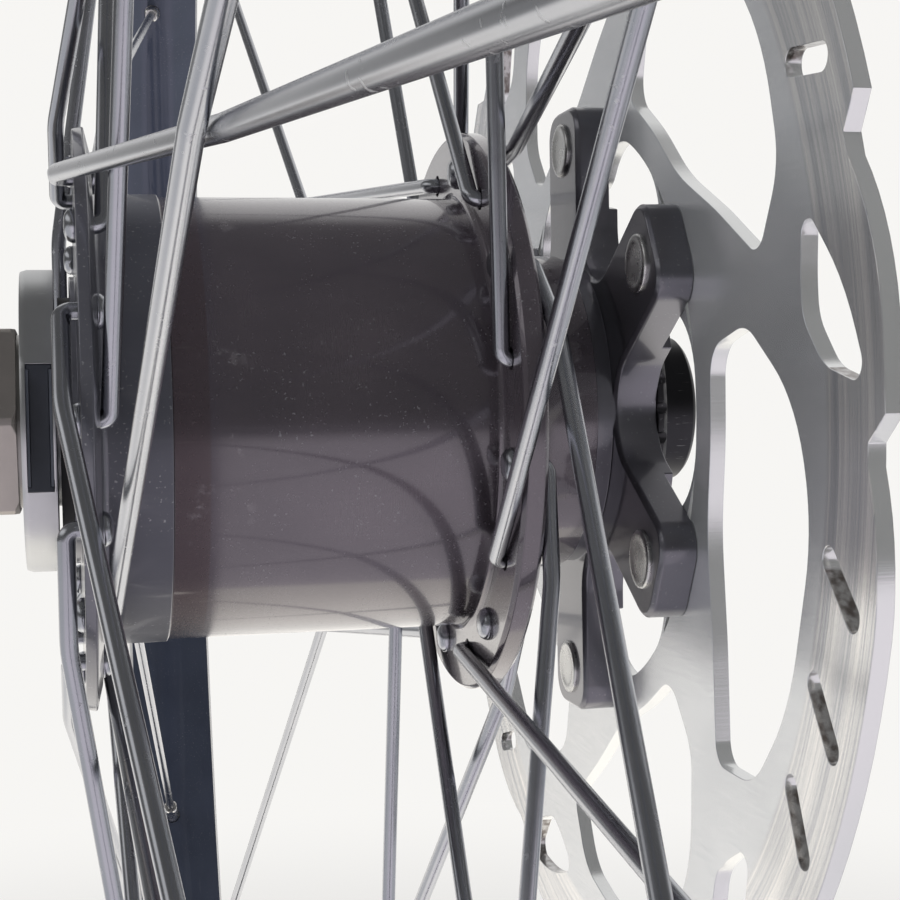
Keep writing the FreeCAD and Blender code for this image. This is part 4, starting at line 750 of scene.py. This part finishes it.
piece("rotor_rivets_headed", rivet_shells(),
      bearing_steel("rivet_steel", RIVET_COLOUR, roughness=0.22),
      "wheel", ["rotor_rivets"])


# Rim and tape
# A box rim with hooked edges, rolled from an aluminium section and anodised black. The blue tape
# lies in its well, over the nipples' holes.

RIM_TINT = (0.046, 0.058, 0.090)
TAPE_COLOUR = (0.04, 0.14, 0.40)
RIM_EDGE_BREAK = 0.0003

rim_black = anodised_black("rim_anodising", RIM_TINT, roughness=0.26, dust=0.3, streak=0.2)[0]
edged("rim", rim_black, "wheel", RIM_EDGE_BREAK)
dressed("rim_tape", moulded("rim_tape", TAPE_COLOUR, roughness=0.5))


# Spokes
# Drawn stainless wire, 2 mm thick: a button head, an elbow through the flange, and a run to the rim
# that bends softly where it passes over its last crossing.

HOLE_CIRCLE_RADIUS = 0.0304
HOLES_PER_FLANGE = 16
HOLE_STEP = 360.0 / HOLES_PER_FLANGE
SPOKE_SWEEP = 67.5
RIM_BED_RADIUS = 0.2983
RIM_BED_THICKNESS = 0.0022
RIM_STAGGER = 0.0015
SPOKE_RADIUS = 0.001
ELBOW_BEND = 0.0012
SOFT_BEND = 0.020
FLANGE_EDGE_RADIUS = 0.0364
BEND_STATIONS = 9
SPOKE_SIDES = 24
HEAD_HEIGHTS = np.array([1.25, 1.22, 1.10, 0.80, 0.40, 0.10, 0.0, -0.002]) / 1000
HEAD_RADII = np.array([0.0, 0.7, 1.25, 1.7, 1.92, 1.97, 1.93, 1.0]) / 1000
FLANGES = {
    "connector_side": {"side": -1, "first_hole": 0.15, "lift": 0.0018,
                       "outer_y": -0.02705, "inner_y": -0.02505},
    "disc_side": {"side": 1, "first_hole": -11.1, "lift": 0.00105,
                  "outer_y": 0.0229, "inner_y": 0.0200},
}
TOUCH_LIFT = 0.00105
WIRE_DARK_COLOUR = (0.37, 0.385, 0.42, 1)
WIRE_LIGHT_COLOUR = (0.50, 0.51, 0.54, 1)
RUBBED_COLOUR = (0.64, 0.65, 0.68, 1)
RUBBED_SHARE = 0.5
WIRE_ROUGHNESS = 0.20
WIRE_CLOUD_ROUGHENING = 0.08
RUBBED_ROUGHENING = 0.2
RUBBED_HEIGHT = 0.00001


def unit(vectors):
    return vectors / np.linalg.norm(vectors, axis=-1, keepdims=True)


def crossing_share():
    """Where a spoke meets its last crossing, as a share of its run from hole to rim. In side view
    both spokes' lines meet halfway between their holes, on a ray through the axle."""
    slope = math.tan(math.radians(SPOKE_SWEEP - HOLE_STEP / 2))
    rim_x = RIM_BED_RADIUS * math.cos(math.radians(SPOKE_SWEEP))
    rim_z = RIM_BED_RADIUS * math.sin(math.radians(SPOKE_SWEEP))
    return slope * HOLE_CIRCLE_RADIUS / (rim_z - slope * (rim_x - HOLE_CIRCLE_RADIUS))


def spoke_corners(flange, first):
    """Corners of every second spoke of a flange: head, elbow, the flange's edge if the elbow is
    outside, crossing and rim bed. The spokes from hole 0 on have the elbow inside."""
    hole = flange["first_hole"] + HOLE_STEP * np.arange(first, HOLES_PER_FLANGE, 2)
    inside = first == 0
    touch = flange["side"] * TOUCH_LIFT
    inside_y = flange["inner_y"] - touch
    outside_y = flange["outer_y"] + flange["side"] * flange["lift"]
    head = about(HOLE_CIRCLE_RADIUS, flange["outer_y"] if inside else flange["inner_y"], hole)
    elbow = about(HOLE_CIRCLE_RADIUS, inside_y if inside else outside_y, hole)
    sweep = -SPOKE_SWEEP if inside else SPOKE_SWEEP
    bed = about(RIM_BED_RADIUS, flange["side"] * RIM_STAGGER, hole + sweep)
    share = crossing_share()
    crossing = elbow + (bed - elbow) * share
    middle_y = (inside_y + outside_y) / 2 * (1 - share) + flange["side"] * RIM_STAGGER * share
    crossing[:, 1] = middle_y + (touch if inside else -touch)
    corners = [head, elbow, crossing, bed]
    if not inside:
        flat = unit((bed - elbow) * (1, 0, 1))
        back = (elbow * flat).sum(-1, keepdims=True)
        reach = np.sqrt(back ** 2 + FLANGE_EDGE_RADIUS ** 2 - HOLE_CIRCLE_RADIUS ** 2) - back
        corners.insert(2, elbow + flat * reach)
    return corners


def soft_line(corners, bends):
    """The corners joined by straight runs, with a tangent arc at each inner corner:
    centre + bend (forward sin a - inward cos a), with a up to half the angle of the turn."""
    stations = [corners[0]]
    for before, corner, after, bend in zip(corners, corners[1:], corners[2:], bends):
        ahead, onward = unit(corner - before), unit(after - corner)
        half = np.arccos(np.clip((ahead * onward).sum(-1), -1, 1))[:, None] / 2
        inward, forward = unit(onward - ahead), unit(onward + ahead)
        centre = corner + inward * bend / np.cos(half)
        for share in np.linspace(-1, 1, BEND_STATIONS):
            stations.append(centre + bend * (forward * np.sin(half * share)
                                             - inward * np.cos(half * share)))
    return np.stack(stations + [corners[-1]], 1)


def spoke_shells(flange, first):
    """Tubes round the lines: station + radius (cos t beside + sin t across). Beside is square to
    the plane of the bends, and across is square to beside and to the line's own heading."""
    corners = spoke_corners(flange, first)
    run = unit(corners[-1] - corners[-2])
    corners[-1] = corners[-1] + run * RIM_BED_THICKNESS
    line = soft_line(corners, [ELBOW_BEND] + [SOFT_BEND] * (len(corners) - 3))
    inward = unit(corners[1] - corners[0])[:, None, :]
    head = line[:, :1] - inward * HEAD_HEIGHTS[:, None]
    stations = np.concatenate([head, line[:, 1:], line[:, -1:]], 1)
    radii = np.concatenate([HEAD_RADII, np.full(line.shape[1] - 1, SPOKE_RADIUS), [0.0]])
    steps = unit(np.diff(line, axis=1))
    middle = unit(steps[:, 1:] + steps[:, :-1])
    last = steps[:, -1:]
    heading = np.concatenate([np.repeat(inward, len(HEAD_RADII), 1), middle, last, last], 1)
    beside = unit(np.cross(run, (0, 1, 0)))[:, None, :]
    across = np.cross(heading, beside)
    turn = np.linspace(0, 2 * np.pi, SPOKE_SIDES, False)[:, None]
    grids = stations[:, :, None] + radii[None, :, None, None] * (
        np.cos(turn) * beside[:, :, None] + np.sin(turn) * across[:, :, None])
    return [lattice(grid, close_columns=True) for grid in grids]


def spoke_finish():
    """Polished stainless wire: a cloudy tone, and rubbed and chipped spots."""
    finish = Finish("spoke_stainless")
    spot = finish.place()
    cloud = finish.noise(spot, scale=90.0, detail=4.0, roughness=0.6)
    rub = finish.noise(spot, scale=1100.0, detail=3.0).step(0.62, 0.72)
    rub = rub * finish.noise(spot, scale=60.0, detail=2.0).step(0.5, 0.62)
    shade = finish.mix(cloud, WIRE_DARK_COLOUR, WIRE_LIGHT_COLOUR)
    shade = finish.mix(rub * RUBBED_SHARE, shade, RUBBED_COLOUR)
    shine = WIRE_ROUGHNESS + WIRE_CLOUD_ROUGHENING * cloud + RUBBED_ROUGHENING * rub
    return finish.surface(Base_Color=shade, Metallic=1.0, Roughness=shine,
                          Normal=finish.bump(rub, RUBBED_HEIGHT))


wire = spoke_finish()
for name, flange in FLANGES.items():
    for first, elbow_side in ((0, "inner"), (1, "outer")):
        node = "spokes_" + name + "_" + elbow_side
        piece(node + "_wire", spoke_shells(flange, first), wire, "wheel", [node])


# Nipples
# Nickel plated brass, turned and milled: a squared body for the spoke key, a round shank, and a
# head inside the rim. Each one is screwed onto the end of its spoke.

NIPPLE_HEIGHTS = np.array([9.0, 9.0, 8.7, 8.3, 2.6, 2.1, 1.7, 0.0,
                           -2.2, -2.2, -2.6, -4.2, -4.6, -4.6]) / 1000
NIPPLE_RADII = np.array([1.05, 1.55, 1.9, 2.0, 2.0, 2.0, 2.0, 2.0,
                         2.0, 3.0, 3.0, 2.3, 1.9, 1.05]) / 1000
NIPPLE_HALF_FLATS = np.array([1.65] * 5 + [1.8] + [2.1] * 3 + [3.2] * 5) / 1000
NIPPLE_SIDES = 32
NICKEL_COLOUR = (0.72, 0.71, 0.69)
NIPPLE_SHARP_ANGLE = 30.0


def nipple_shells(flange):
    """Stacked sections along each spoke's end: a circle of the radius, cut by a square of the half
    width. radius(t) = min(radius, half width / max(|cos t|, |sin t|))."""
    shells = []
    for first in (0, 1):
        corners = spoke_corners(flange, first)
        along = unit(corners[-1] - corners[-2])
        beside = unit(np.cross(along, (0, 1, 0)))
        across = np.cross(along, beside)
        turn = np.linspace(0, 2 * np.pi, NIPPLE_SIDES, False) + np.pi / NIPPLE_SIDES
        square = np.maximum(np.abs(np.cos(turn)), np.abs(np.sin(turn)))
        radius = np.minimum(NIPPLE_RADII[:, None], NIPPLE_HALF_FLATS[:, None] / square)
        ring = (np.cos(turn)[:, None] * beside[:, None, None]
                + np.sin(turn)[:, None] * across[:, None, None])
        centres = corners[-1][:, None, None] - along[:, None, None] * NIPPLE_HEIGHTS[:, None, None]
        grids = centres + radius[None, :, :, None] * ring
        shells += [lattice(grid, close_rows=True, close_columns=True) for grid in grids]
    return shells


nickel = bearing_steel("nipple_silver", NICKEL_COLOUR, roughness=0.2)
for name, flange in FLANGES.items():
    piece("nipples_" + name + "_plated", nipple_shells(flange), nickel, "wheel",
          ["nipples_" + name], sharp=NIPPLE_SHARP_ANGLE)
